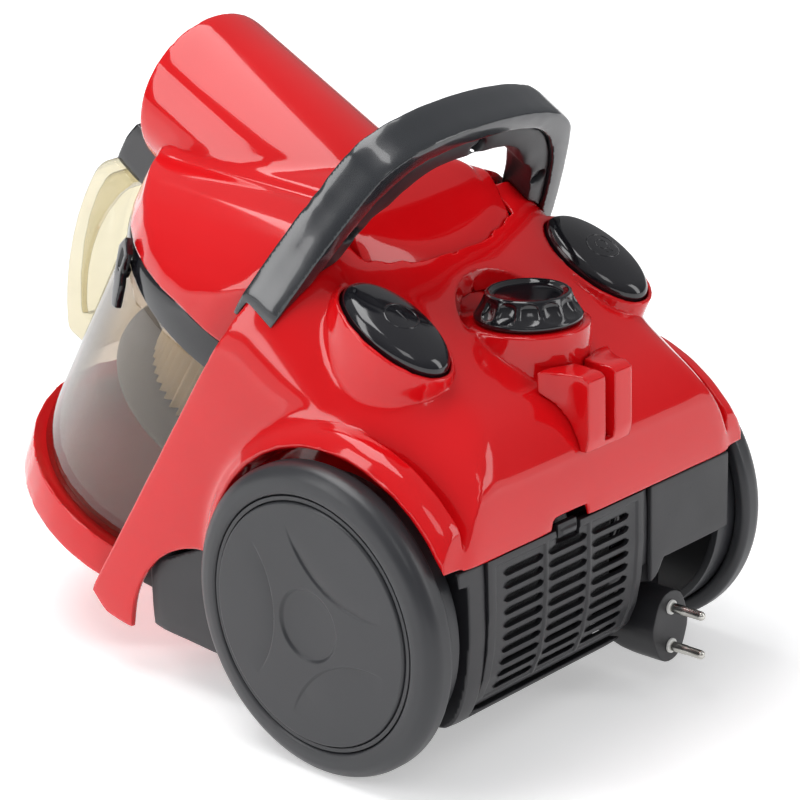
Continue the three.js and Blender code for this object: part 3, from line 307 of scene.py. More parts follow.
def make_materials():
    return {
        "red_gloss": moulded_plastic(
            "red gloss plastic", (0.56, 0.003, 0.005), (0.64, 0.005, 0.008), rough=(0.10, 0.16),
            grain_scale=900, grain_mm=0.003, coat=0.65, specular=0.12),
        "charcoal_satin": moulded_plastic(
            "charcoal satin plastic", (0.012, 0.012, 0.014), (0.018, 0.018, 0.021), rough=(0.36, 0.48),
            grain_scale=2600, grain_mm=0.03),
        "wheel": moulded_plastic(
            "grey satin wheel plastic", (0.020, 0.021, 0.024), (0.028, 0.029, 0.033), rough=(0.32, 0.42),
            grain_scale=2600, grain_mm=0.02),
        "black_gloss": moulded_plastic(
            "black gloss plastic", (0.005, 0.005, 0.007), (0.009, 0.009, 0.012), rough=(0.08, 0.15),
            grain_scale=900, grain_mm=0.004, coat=0.3),
        "handle_grey": moulded_plastic(
            "grey semi-gloss plastic", (0.014, 0.016, 0.019), (0.021, 0.024, 0.028), rough=(0.16, 0.24),
            grain_scale=1200, grain_mm=0.006, coat=0.5),
        "rubber": moulded_plastic(
            "grey tyre", (0.016, 0.016, 0.018), (0.024, 0.024, 0.027), rough=(0.46, 0.58),
            grain_scale=1800, grain_mm=0.05),
        "grey_plastic": moulded_plastic(
            "grey plastic", (0.10, 0.10, 0.105), (0.15, 0.15, 0.155), rough=(0.45, 0.6),
            grain_scale=2200, grain_mm=0.03),
        "white_plastic": moulded_plastic(
            "white pin collar plastic", (0.62, 0.62, 0.60), (0.72, 0.72, 0.70), rough=(0.35, 0.45),
            grain_scale=2200, grain_mm=0.02),
        "smoke_clear": clear_plastic(
            "smoky clear plastic", (0.86, 0.82, 0.77), (0.80, 0.75, 0.69), rough=0.02),
        "beige_clear": clear_plastic(
            "beige clear plastic", (0.86, 0.83, 0.72), (0.80, 0.76, 0.64), rough=0.05),
        "filter_cream": fibrous(
            "pleated filter paper", (0.66, 0.57, 0.40), (0.80, 0.72, 0.54), scale=1500, depth_mm=0.12),
        "foam": fibrous(
            "filter foam", (0.012, 0.013, 0.014), (0.03, 0.031, 0.033), scale=1200, depth_mm=0.8),
        "nickel": metal(
            "nickel plate", (0.50, 0.49, 0.46), (0.66, 0.65, 0.61), rough=(0.16, 0.3), stretch=(1, 0.1, 1)),
        "steel": metal(
            "steel", (0.28, 0.29, 0.30), (0.42, 0.43, 0.45), rough=(0.25, 0.42), stretch=(0.1, 1, 1)),
        "aluminium": metal(
            "aluminium", (0.42, 0.43, 0.44), (0.58, 0.59, 0.60), rough=(0.3, 0.5), stretch=(1, 0.08, 1)),
        "floor": studio_floor(),
    }


SLOT_OF_NODE = {part["node"]: part["material_slot"] for part in frame["record"]["subparts"]}
MATERIALS = make_materials()


# ---------- mesh tools ----------
def link_piece(name, mesh, node, material=None, also=()):
    """A finished piece: it rides on its CAD node's body, stands for the node and takes the node's slot."""
    piece = bpy.data.objects.new(name, mesh)
    bpy.context.scene.collection.objects.link(piece)
    slot = SLOT_OF_NODE[node]
    mesh.materials.clear()
    mesh.materials.append(MATERIALS[material or slot])
    for extra in also:
        mesh.materials.append(MATERIALS[extra])
    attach(piece, BODY_OF[node])
    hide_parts(node)
    return piece


def mesh_from(name, points, faces, smooth=True):
    mesh = bpy.data.meshes.new(name)
    mesh.from_pydata([tuple(point) for point in points], [], faces)
    mesh.update()
    if smooth:
        mesh.polygons.foreach_set("use_smooth", [True] * len(mesh.polygons))
    return mesh


def voxel_mesh(node, voxel):
    """The CAD node's surface as even quads, as (points, quads)."""
    copy = bpy.data.objects.new("voxels", frame["nodes"][node].data.copy())
    bpy.context.scene.collection.objects.link(copy)
    weld = copy.modifiers.new("weld", "WELD")
    weld.merge_threshold = 1e-6
    remesh = copy.modifiers.new("remesh", "REMESH")
    remesh.mode = "VOXEL"
    remesh.voxel_size = voxel
    made = copy.evaluated_get(bpy.context.evaluated_depsgraph_get()).to_mesh()
    points = np.zeros(len(made.vertices) * 3)
    made.vertices.foreach_get("co", points)
    corners = np.zeros(len(made.loops), dtype=np.int64)
    made.loops.foreach_get("vertex_index", corners)
    sizes = np.zeros(len(made.polygons), dtype=np.int64)
    made.polygons.foreach_get("loop_total", sizes)
    if len(sizes) == 0 or (sizes != 4).any():
        raise ValueError(f"{node}: the remesh is not all quads")
    bpy.data.objects.remove(copy)
    return points.reshape(-1, 3), corners.reshape(-1, 4)


def face_neighbours(quads):
    """For each quad, the quad across each of its four edges."""
    count = len(quads)
    start = quads.ravel()
    end = np.roll(quads, -1, axis=1).ravel()
    low, high = np.minimum(start, end), np.maximum(start, end)
    order = np.lexsort((high, low))
    key = low[order] * (quads.max() + 1) + high[order]
    owner = np.repeat(np.arange(count), 4)
    across = owner.copy()
    same = np.nonzero(key[1:] == key[:-1])[0]
    first, second = order[same], order[same + 1]
    across[first] = owner[second]
    across[second] = owner[first]
    return across.reshape(-1, 4)


def vertex_average(values, quads, count):
    """The mean over the quads round each vertex of a value given for each quad corner."""
    index = quads.ravel()
    total = np.stack([np.bincount(index, values[..., axis].ravel(), count) for axis in range(3)], axis=1)
    return total / np.maximum(np.bincount(index, minlength=count), 1)[:, None]


def quad_normals(points, quads):
    corners = points[quads]
    normals = np.cross(corners[:, 2] - corners[:, 0], corners[:, 3] - corners[:, 1])
    return normals / np.maximum(np.linalg.norm(normals, axis=1), 1e-12)[:, None]


SMOOTH_PASSES = 3                # passes of plain smoothing
SMOOTH_PULL = 0.7                # how far each pass moves a point towards its neighbours' mean
LEVEL_PASSES = 60                # passes that bring neighbouring facets to one direction
FIT_MOVES = 24                   # moves that bring the points to those directions
USUAL_KINK = 22                  # degrees: facets that meet more sharply than this are an edge


def relax(points, quads):
    """Plain smoothing, which takes off the voxel steps and rounds the edges by about a voxel."""
    for _ in range(SMOOTH_PASSES):
        centres = points[quads].mean(axis=1)
        spread = np.repeat(centres[:, None, :], 4, axis=1)
        points = points + SMOOTH_PULL * (vertex_average(spread, quads, len(points)) - points)
    return points


def even_out(points, quads, kink):
    """Levels facets that meet at less than kink degrees, and keeps sharper edges."""
    across = face_neighbours(quads)
    tolerance = 2 * math.sin(math.radians(kink) / 2) / 2.2
    normals = quad_normals(points, quads)
    for _ in range(LEVEL_PASSES):
        total = normals.copy()
        for side in range(4):
            other = normals[across[:, side]]
            gap = ((other - normals) ** 2).sum(axis=1)
            total += other * np.exp(-gap / (2 * tolerance ** 2))[:, None]
        normals = total / np.maximum(np.linalg.norm(total, axis=1), 1e-12)[:, None]
    for _ in range(FIT_MOVES):
        corners = points[quads]
        centres = corners.mean(axis=1)
        offset = ((centres[:, None, :] - corners) * normals[:, None, :]).sum(axis=2)
        points = points + vertex_average(offset[..., None] * normals[:, None, :], quads, len(points))
    return points


def refined(node, voxel_mm, kink, shape=None):
    """A fine copy of a moulded CAD node, as a piece. shape may move its points before it is made."""
    voxel = voxel_mm * MM * 1
    points, quads = voxel_mesh(node, voxel)
    points = relax(points, quads)
    points = even_out(points, quads, kink)
    if shape:
        points = shape(points, quads)
    low, high = (np.array(corner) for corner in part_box(node))
    points = np.clip(points, low, high)
    mesh = bpy.data.meshes.new(node)
    mesh.vertices.add(len(points))
    mesh.vertices.foreach_set("co", points.ravel())
    mesh.loops.add(quads.size)
    mesh.loops.foreach_set("vertex_index", quads.ravel().astype(np.int32))
    mesh.polygons.add(len(quads))
    mesh.polygons.foreach_set("loop_start", np.arange(0, quads.size, 4, dtype=np.int32))
    mesh.update(calc_edges=True)
    mesh.polygons.foreach_set("use_smooth", [True] * len(mesh.polygons))
    link_piece(node + "_moulded", mesh, node)


def circle_angles(steps):
    return [2 * math.pi * step / steps for step in range(steps)]


def ease(share):
    """0 to 1 again, but level at both ends."""
    return share * share * (3 - 2 * share)


def in_metres(pairs_mm):
    return [(radius * MM, height * MM) for radius, height in pairs_mm]


def lathe(profile, place, steps, around=None):
    """(points, faces) of a closed turned body.

    profile is (radius, height) pairs. around gives a scale for the radius from (angle, radius, height).
    """
    profile = [(max(radius, 0.01 * MM), height) for radius, height in profile]
    points, faces = [], []
    rows = len(profile)
    for angle in circle_angles(steps):
        for radius, height in profile:
            reach = radius * (around(angle, radius, height) if around else 1)
            points.append(place @ Vector((reach * math.cos(angle), reach * math.sin(angle), height)))
    for step in range(steps):
        following = (step + 1) % steps
        for row in range(rows):
            after = (row + 1) % rows
            faces.append((
                step * rows + row, following * rows + row,
                following * rows + after, step * rows + after,
            ))
    return points, faces


def rounded(corners, radius, steps=4):
    """A closed outline of (r, h) corners with each corner rounded by up to the given radius."""
    outline = []
    count = len(corners)
    for index, corner in enumerate(corners):
        here = Vector(corner)
        before = Vector(corners[index - 1]) - here
        after = Vector(corners[(index + 1) % count]) - here
        if here.x <= 1e-6:
            outline.append(tuple(here))
            continue
        cut = min(radius, before.length / 2.2, after.length / 2.2)
        first = here + before.normalized() * cut
        last = here + after.normalized() * cut
        for step in range(steps + 1):
            t = step / steps
            outline.append(tuple(first * (1 - t) ** 2 + here * 2 * t * (1 - t) + last * t ** 2))
    return outline


def disc_faces(starts, steps):
    """A closed body of rings: a fan from point 0, quads from ring to ring, and one last flat face.

    starts holds the number of each ring's first point.
    """
    faces = [(0, 1 + step, 1 + (step + 1) % steps) for step in range(steps)]
    for inner, outer in zip(starts, starts[1:]):
        for step in range(steps):
            following = (step + 1) % steps
            faces.append((inner + step, outer + step, outer + following, inner + following))
    faces.append(tuple(range(starts[-1], starts[-1] + steps)))
    return faces


def outward(mesh):
    """Turns every face of a closed mesh outward."""
    work = bmesh.new()
    work.from_mesh(mesh)
    bmesh.ops.recalc_face_normals(work, faces=work.faces)
    work.to_mesh(mesh)
    work.free()


def closed_piece(name, node, points, faces, material=None, also=(), sharp_angle=50):
    """A piece with a closed surface, smooth except at edges sharper than the angle in degrees."""
    mesh = mesh_from(name, points, faces)
    outward(mesh)
    mesh.set_sharp_from_angle(angle=math.radians(sharp_angle))
    return link_piece(name, mesh, node, material, also)


def turned_piece(name, node, profile, place, steps, around=None, material=None):
    points, faces = lathe(profile, place, steps, around)
    closed_piece(name, node, points, faces, material)


# ---------- wheels ----------
# Heights are out along the axle, from the centre plane.
WHEEL_STEPS = 192
HUB_RADIUS, CAP_RADIUS = 17 * MM, 54.8 * MM
CAP_FRONT, CAP_BACK = 117.45 * MM, 112.9 * MM
CAP_EDGE = 1.1 * MM              # radius of the cap's rounded rim
CROWN_DROP = 0.35 * MM
HUB_FLOOR, HUB_DISH = 116.1 * MM, 0.3 * MM
HUB_STEP_WIDTH = 1.6 * MM
GROOVE_DEPTH = 0.8 * MM
ARC_RADIUS = 48 * MM
ARC_BULGE = 21 * MM              # nearest the arcs come to the axle
ARC_HALF_ANGLE, ARC_FADE = math.radians(40), math.radians(16)
STEEP_SIDE, SLOW_SIDE = 0.5 * MM, 4.5 * MM


def side_place(side):
    """The wheels' frame on one side: z goes out along the axle."""
    return Matrix.Scale(side, 4, (1, 0, 0)) @ WHEELS


def pinwheel_groove(x, y):
    """0 to 1, how deep the three curved grooves are at a point of the wheel's face."""
    deepest = 0
    for arm in range(3):
        way = math.radians(30 + 120 * arm)
        centre_x = (ARC_BULGE + ARC_RADIUS) * math.cos(way)
        centre_y = (ARC_BULGE + ARC_RADIUS) * math.sin(way)
        dx, dy = centre_x - x, centre_y - y
        gap = math.hypot(dx, dy) - ARC_RADIUS
        turn = math.atan2(
            dx * math.sin(way) - dy * math.cos(way),
            dx * math.cos(way) + dy * math.sin(way),
        )
        fade = min(1, max(0, (ARC_HALF_ANGLE - abs(turn)) / ARC_FADE))
        depth = math.exp(gap / SLOW_SIDE) if gap < 0 else math.exp(-(gap / STEEP_SIDE) ** 2)
        deepest = max(deepest, fade * depth)
    return deepest


def cap_height(radius):
    """Height of the cap's face before its grooves: a dished hub in a soft crown with a rounded rim."""
    crown = CAP_FRONT - CROWN_DROP * ((radius - HUB_RADIUS) / CAP_RADIUS) ** 2
    rim = max(0, radius - (CAP_RADIUS - CAP_EDGE)) / CAP_EDGE
    face = crown - CAP_EDGE * (1 - math.sqrt(max(0, 1 - rim ** 2)))
    dish = HUB_FLOOR + HUB_DISH * (radius / HUB_RADIUS) ** 2
    rise = min(1, max(0, (radius - HUB_RADIUS + HUB_STEP_WIDTH) / HUB_STEP_WIDTH))
    return dish + (face - dish) * ease(rise)


def make_hubcap(node, side):
    """The wheel's face: a dense disc with three curved grooves, and its flat back."""
    place = side_place(side)
    rings, steps = 150, 720
    points = [place @ Vector((0, 0, HUB_FLOOR))]
    starts = []
    for ring in range(1, rings + 1):
        starts.append(len(points))
        radius = CAP_RADIUS * ring / rings
        height = cap_height(radius)
        for angle in circle_angles(steps):
            x, y = radius * math.cos(angle), radius * math.sin(angle)
            points.append(place @ Vector((x, y, height - GROOVE_DEPTH * pinwheel_groove(x, y))))
    for radius in (CAP_RADIUS, 0.1 * MM):
        starts.append(len(points))
        for angle in circle_angles(steps):
            points.append(place @ Vector((radius * math.cos(angle), radius * math.sin(angle), CAP_BACK)))
    closed_piece(node + "_face", node, points, disc_faces(starts, steps), "wheel")


def make_wheel(side_name, side):
    """A tyre that just reaches the ground, its disc and its cap."""
    place = side_place(side)
    tread = AXLE_Z / MM
    tyre = in_metres([
        (57.6, 108), (57.6, 116.7), (61, 117.0), (66, 116.2), (69.2, 113.6), (tread, 110.6),
        (tread, 104.2), (68, 102.2), (63, 102.2), (63, 108),
    ])
    disc = in_metres([
        (5.6, 90), (12, 90), (12, 104), (59, 104), (59, 91), (62.6, 91), (62.6, 107.6), (57.2, 107.6),
        (57.2, 116.2), (55.2, 116.2), (55.2, 112.5), (5.6, 112.5),
    ])
    turned_piece(f"{side_name}_tyre_turned", f"{side_name}_tyre",
                 rounded(tyre, 2.2 * MM, 6), place, WHEEL_STEPS, material="wheel")
    turned_piece(f"{side_name}_wheel_disc_turned", f"{side_name}_wheel_disc",
                 rounded(disc, 0.3 * MM, 3), place, WHEEL_STEPS, material="wheel")
    make_hubcap(f"{side_name}_hubcap", side)


# ---------- pedals ----------
PEDAL_RISE = 2.2 * MM            # the pedals' frame stands this far above the body's slope
PEDAL_EDGE = 3.4 * MM            # radius of a pedal's rounded rim
DOME_CENTRE_Z = -16.9 * MM
DOME_X, DOME_Y, DOME_Z = 30 * MM, 52.7 * MM, 26 * MM
MARK_RADIUS = 7.6 * MM
MARK_THICKNESS = 0.5 * MM        # half the width of the marks' lines
MARK_FLATNESS = 0.55


def pedal_place(side):
    height = SEAM_Z - math.tan(SLOPE) * (PEDAL_Y - SEAM_Y) + PEDAL_RISE
    lean = Matrix.Rotation(-PEDAL_SLOPE, 4, "X")
    return Matrix.Translation((side * PEDAL_X, PEDAL_Y, height)) @ lean


def pedal_dome(x, y):
    """Height of the pedal's domed top in its own frame: part of an ellipsoid."""
    return DOME_CENTRE_Z + DOME_Z * math.sqrt(1 - (x / DOME_X) ** 2 - (y / DOME_Y) ** 2)


def tube_on_dome(path, closed):
    """(points, faces) of a thin raised line that lies on the pedal's dome."""
    ring = 8
    points, faces = [], []
    count = len(path)
    for index, (x, y) in enumerate(path):
        ahead = path[(index + 1) % count] if closed or index + 1 < count else (x, y)
        behind = path[index - 1] if closed or index else (x, y)
        way = Vector((ahead[0] - behind[0], ahead[1] - behind[1]))
        across = Vector((-way.y, way.x)).normalized()
        for angle in circle_angles(ring):
            px = x + across.x * MARK_THICKNESS * math.cos(angle)
            py = y + across.y * MARK_THICKNESS * math.cos(angle)
            rise = MARK_FLATNESS * MARK_THICKNESS * math.sin(angle)
            points.append((px, py, pedal_dome(px, py) + rise))
    spans = count if closed else count - 1
    for index in range(spans):
        following = (index + 1) % count
        for step in range(ring):
            after = (step + 1) % ring
            faces.append((
                index * ring + step, following * ring + step,
                following * ring + after, index * ring + after,
            ))
    if not closed:
        faces.append(tuple(range(ring)))
        faces.append(tuple((count - 1) * ring + step for step in reversed(range(ring))))
    return points, faces


def circle_path(radius, y=0.0, steps=48):
    return [(radius * math.cos(angle), y + radius * math.sin(angle)) for angle in circle_angles(steps)]


def line_path(start, end, steps=8):
    (x0, y0), (x1, y1) = start, end
    return [
        (x0 + (x1 - x0) * step / steps, y0 + (y1 - y0) * step / steps)
        for step in range(steps + 1)
    ]


def power_mark():
    """A bar in a circle, as (path, closed) pairs."""
    reach = 3.6 * MM
    return [(circle_path(MARK_RADIUS), True), (line_path((0, -reach), (0, reach)), False)]


def rewind_mark():
    """A two-pin plug in a circle, as (path, closed) pairs."""
    pin_x, pin_foot, pin_tip = 1.5 * MM, 2.2 * MM, 4.8 * MM
    return [
        (circle_path(MARK_RADIUS), True),
        (circle_path(3.1 * MM, y=-0.8 * MM, steps=24), True),
        (line_path((-pin_x, pin_foot), (-pin_x, pin_tip)), False),
        (line_path((pin_x, pin_foot), (pin_x, pin_tip)), False),
    ]


def make_pedal(node, side, mark):
    """A glossy oval pedal: a soft dome with a rounded rim, a skirt, and its raised mark."""
    place = pedal_place(side)
    rings, steps = 44, 160
    points = [Vector((0, 0, pedal_dome(0, 0)))]
    starts = []
    for ring in range(1, rings + 1):
        starts.append(len(points))
        share = math.sin(ring / rings * math.pi / 2)
        inset = (1 - share) * PEDAL_HALF_WIDTH
        drop = PEDAL_EDGE * (1 - math.sqrt(max(0, 1 - max(0, 1 - inset / PEDAL_EDGE) ** 2)))
        for angle in circle_angles(steps):
            x = PEDAL_HALF_WIDTH * share * math.cos(angle)
            y = PEDAL_HALF_LENGTH * share * math.sin(angle)
            points.append(Vector((x, y, pedal_dome(x, y) - drop)))
    skirt_mm = ((1, 0.6), (1, -4), (1, -12), (0.9, -12), (0.9, -4), (0.02, -4))
    for share, height_mm in skirt_mm:
        starts.append(len(points))
        for angle in circle_angles(steps):
            x = PEDAL_HALF_WIDTH * share * math.cos(angle)
            y = PEDAL_HALF_LENGTH * share * math.sin(angle)
            points.append(Vector((x, y, height_mm * MM)))
    faces = disc_faces(starts, steps)
    for path, closed in mark:
        extra_points, extra_faces = tube_on_dome(path, closed)
        base = len(points)
        points += [Vector(point) for point in extra_points]
        faces += [tuple(base + index for index in face) for face in extra_faces]
    placed = [place @ point for point in points]
    closed_piece(node + "_cap", node, placed, faces, "black_gloss", sharp_angle=55)


# ---------- suction dial ----------
FLUTES = 13
SKIRT_FOOT, SKIRT_TOP = 3.6 * MM, 12.2 * MM
SKIRT_INNER = 17 * MM            # nothing nearer the dial's axis is scooped
SCOOP_DEPTH = 1.9 * MM
SCOOP_WIDTH = 0.84               # as a share of the room that a scoop has
DIAL_GAP = 0.35 * MM


def dial_scallop(angle, radius, height):
    """Scale of the dial's radius: round-ended scoops side by side round its conical skirt."""
    share = (height - SKIRT_FOOT) / (SKIRT_TOP - SKIRT_FOOT)
    if radius < SKIRT_INNER or share <= 0 or share >= 1:
        return 1
    across = abs((FLUTES * angle / (2 * math.pi)) % 1 - 0.5) * 2
    half_width = SCOOP_WIDTH * math.sqrt(max(0, 1 - (2 * share - 1) ** 4))
    if across >= half_width:
        return 1
    depth = SCOOP_DEPTH * math.sqrt(1 - (across / half_width) ** 2) * math.sin(math.pi * share) ** 0.5
    return 1 - depth / radius


def make_dial():
    """The knob: a foot, a cone of scoops, a rounded rim and a dished top."""
    corners = in_metres([
        (0, 0), (23.2, 0), (24.0, 1.0), (24.0, 2.4), (23.2, 3.4), (21.9, 5.4), (20.7, 7.6), (19.7, 9.8),
        (19.2, 11.2), (18.9, 12.3), (18.2, 12.8), (17.3, 12.75), (16.6, 12.2), (15.6, 11.1),
        (12, 10.6), (0, 10.4),
    ])
    profile = [(radius, height + DIAL_GAP) for radius, height in corners]
    skirt_rows = range(3, 10)
    fine = []
    for index in range(len(profile) - 1):
        (r0, h0), (r1, h1) = profile[index], profile[index + 1]
        pieces = 6 if index in skirt_rows else 2
        fine += [(r0 + (r1 - r0) * k / pieces, h0 + (h1 - h0) * k / pieces) for k in range(pieces)]
    fine.append(profile[-1])
    turned_piece("suction_dial_knob", "suction_dial", fine, DIAL, 30 * FLUTES, dial_scallop, "black_gloss")


# ---------- dust cup, band and filter ----------
def cup_radius(height):
    share = (height - CUP_BOTTOM) / (CUP_TOP - CUP_BOTTOM)
    return CUP_RADIUS_BOTTOM + (CUP_RADIUS_TOP - CUP_RADIUS_BOTTOM) * share


def cup_floor(radius, angle):
    """Height of the slanting underside of the cup: it drops towards the front."""
    return CUP_BOTTOM + (radius * math.sin(angle) - BAND_BACK) * FOOT_SLOPE


CUP_STEPS = 144
CUP_WALL, CUP_CORNER = 2.4 * MM, 5 * MM
CUP_INSET = 0.2 * MM             # keeps the cup's outside just inside the CAD's


def grid_piece(name, node, rows, steps, material=None):
    """A closed piece from rows of (radius, height) functions of the angle, turned about the cup's axis."""
    points, faces = [], []
    for row in rows:
        for angle in circle_angles(steps):
            radius, height = row(angle)
            points.append(CUP @ Vector((radius * math.cos(angle), radius * math.sin(angle), height)))
    count = len(rows)
    for row in range(count):
        after = (row + 1) % count
        for step in range(steps):
            following = (step + 1) % steps
            faces.append((
                row * steps + step, row * steps + following,
                after * steps + following, after * steps + step,
            ))
    closed_piece(name, node, points, faces, material)


def cup_floor_row(share, lift=0):
    """A ring of the cup's floor, at a share of its radius."""
    radius = cup_radius(CUP_BOTTOM) * share
    return lambda angle: (radius, cup_floor(radius, angle) + lift)


def cup_corner_row(turn, wall=0):
    """A ring of the quarter round between the cup's floor and its wall."""
    bend = CUP_CORNER - wall
    radius = cup_radius(CUP_BOTTOM) - wall - bend * (1 - math.sin(turn))
    return lambda angle: (radius, cup_floor(radius, angle) + wall + bend * (1 - math.cos(turn)))


def cup_wall_row(share, inset):
    """A ring of the cup's wall, at a share of the way up from its corner."""
    def row(angle):
        foot = cup_floor(cup_radius(CUP_BOTTOM), angle) + CUP_CORNER
        height = foot + (CUP_TOP - foot) * share
        return cup_radius(height) - inset, height
    return row


def cup_rim_row(inset, drop):
    """A ring of the cup's rim."""
    return lambda angle: (cup_radius(CUP_TOP) - inset, CUP_TOP - drop)


def make_dust_cup():
    """The clear bowl: its outside from the floor's middle up to the rim, then its inside back down."""
    floor_shares = (0.004, 0.3, 0.6, 0.85)
    wall_shares = (0.15, 0.35, 0.55, 0.75, 0.93)
    corner_turns = [math.pi / 2 * bend / 6 for bend in range(7)]
    rim_round = 0.5 * MM
    rows = [cup_floor_row(share) for share in floor_shares]
    rows += [cup_corner_row(turn) for turn in corner_turns]
    rows += [cup_wall_row(share, CUP_INSET) for share in wall_shares]
    rows += [
        cup_rim_row(CUP_INSET, rim_round),
        cup_rim_row(CUP_INSET + rim_round, 0),
        cup_rim_row(CUP_WALL - rim_round, 0),
        cup_rim_row(CUP_WALL, rim_round),
    ]
    rows += [cup_wall_row(share, CUP_WALL) for share in reversed(wall_shares)]
    rows += [cup_corner_row(turn, CUP_WALL) for turn in reversed(corner_turns)]
    rows += [cup_floor_row(share, CUP_WALL) for share in reversed(floor_shares)]
    grid_piece("dust_cup_bowl", "dust_cup", rows, CUP_STEPS)


def make_cup_band():
    """The ring between the cup and its lid. Ahead of the axis, its top falls as the lid's foot does."""
    outer, inner = LID_RADIUS - 1 * MM, 80.5 * MM
    gap, soft = 0.35 * MM, 0.8 * MM
    forward_fall = 0.19
    bottom = CUP_TOP + gap

    def top(angle):
        ahead = max(0, -outer * math.sin(angle))
        return LID_BASE - gap - forward_fall * ahead

    rows = [
        lambda angle: (inner, bottom),
        lambda angle: (outer - soft, bottom),
        lambda angle: (outer - 0.25 * soft, bottom + 0.25 * soft),
        lambda angle: (outer, bottom + soft),
        lambda angle: (outer, max(bottom + soft + 0.1 * MM, top(angle) - soft)),
        lambda angle: (outer - 0.25 * soft, max(bottom + soft + 0.2 * MM, top(angle) - 0.25 * soft)),
        lambda angle: (outer - soft, max(bottom + soft + 0.3 * MM, top(angle))),
        lambda angle: (inner, max(bottom + soft + 0.3 * MM, top(angle))),
    ]
    grid_piece("cup_band_ring", "cup_band", rows, CUP_STEPS, "black_gloss")


def make_pleated_filter():
    """A ring of folded paper: round-nosed pleats, softly uneven from one to the next."""
    pleats, steps_per_pleat = 60, 12
    valley_radius, pleat_depth, unevenness = 47.2 * MM, 5.4 * MM, 0.35 * MM
    bottom, top, core = 12 * MM, 88 * MM, 40 * MM
    random = np.random.default_rng(7)
    drift = random.normal(0, unevenness, pleats)

    def fold(angle, share):
        turn = angle / (2 * math.pi) * pleats
        soft = ease(abs(2 * (turn % 1) - 1))
        sway = drift[int(turn) % pleats] * soft * math.sin(math.pi * share)
        return valley_radius + pleat_depth * soft + sway

    def paper_row(share):
        return lambda angle: (fold(angle, share), bottom + (top - bottom) * share)

    rows = [lambda angle: (core, bottom)]
    rows += [paper_row(share) for share in (0, 0.04, 0.15, 0.3, 0.45, 0.6, 0.75, 0.9, 1)]
    rows.append(lambda angle: (core, top))
    grid_piece("pleated_filter_paper", "pleated_filter", rows, pleats * steps_per_pleat)


def make_filter_end_disc():
    disc = in_metres([
        (0, 8.1), (55, 6.4), (66.6, 5.3), (68.9, 6.2), (68.9, 8.3), (66, 9.3), (56, 11.4), (0, 11.6),
    ])
    turned_piece("filter_end_disc_turned", "filter_end_disc", rounded(disc, 0.8 * MM, 3), CUP, CUP_STEPS)


# ---------- parked plug ----------
def make_plug_pins():
    """Two round nickel pins, each with a white collar at the plug's face and a domed tip."""
    root, tip = PLUG_FACE - 7.6 * MM, PLUG_FACE + PIN_LENGTH
    collar_foot, collar_end = PLUG_FACE + 0.1 * MM, PLUG_FACE + 1.3 * MM
    collar_radius, collar_chamfer = PIN_RADIUS + 1.0 * MM, 0.3 * MM
    sleeve_radius, sleeve_end = PIN_RADIUS - 0.1 * MM, PLUG_FACE + 9 * MM
    shank_radius, dome = PIN_RADIUS - 0.25 * MM, 2 * MM
    profile = [
        (0, root), (PIN_RADIUS, root), (PIN_RADIUS, collar_foot), (collar_radius, collar_foot),
        (collar_radius, collar_end - collar_chamfer), (collar_radius - collar_chamfer, collar_end),
        (sleeve_radius, collar_end), (sleeve_radius, sleeve_end),
        (shank_radius, sleeve_end + 0.3 * MM), (shank_radius, tip - dome),
    ]
    for step in range(1, 6):
        turn = math.pi / 2 * step / 5
        profile.append((shank_radius * math.cos(turn), tip - dome * (1 - math.sin(turn))))
    lean = Matrix.Rotation(math.radians(-90), 4, "X")
    for number, lift in ((1, PIN_SPACING / 2), (2, -PIN_SPACING / 2)):
        place = Matrix.Translation((PLUG_X, 0, PLUG_Z + lift)) @ lean
        node = f"plug_pin_{number}"
        points, faces = lathe(profile, place, 40)
        piece = closed_piece(node + "_turned", node, points, faces, "nickel", also=("white_plastic",))
        for polygon in piece.data.polygons:
            if polygon.center.y < collar_end + 0.05 * MM:
                polygon.material_index = 1


# ---------- moulded pieces ----------
VOXELS_MM = {
    "upper_shell": 1.15, "front_cradle": 1.2, "parking_hook": 0.7, "exhaust_cover": 0.5,
    "exhaust_cover_latch": 0.5, "carry_handle_outer": 0.9, "carry_handle_inner": 0.8, "base_tray": 1.5,
    "cup_bay_wall": 1.5, "reel_cover_panel": 0.9, "exhaust_filter": 1.2, "power_switch": 0.9,
    "reel_brake_plunger": 0.9, "dial_regulator": 0.9, "left_axle": 0.8, "right_axle": 0.8,
    "caster_fork": 0.6, "caster_pin": 0.4, "caster_wheel": 0.6, "motor_housing": 1.1, "fan_impeller": 0.9,
    "motor_cradle": 1.4, "cord_reel_drum": 0.9, "reel_axle": 0.8, "reel_post": 0.9, "mains_plug": 0.6,
    "cord_gland": 0.6, "lid_shell": 1.0, "hose_socket": 0.8, "filter_plate": 1.0, "cup_grip": 0.8,
    "grip_bracket": 0.8, "release_button": 0.6, "left_lid_latch": 0.5, "right_lid_latch": 0.5,
}
VOXELS_MM.update({f"handle_screw_{number}": 0.35 for number in (1, 2, 3)})
KINKS = {"carry_handle_outer": 40, "carry_handle_inner": 40, "cup_grip": 32, "exhaust_cover": 30}


def point_normals(points, quads):
    spread = np.repeat(quad_normals(points, quads)[:, None, :], 4, axis=1)
    return vertex_average(spread, quads, len(points))


def step_up(value, start, end):
    """0 below start, 1 above end, and a smooth rise between."""
    return ease(np.clip((value - start) / (end - start), 0, 1))


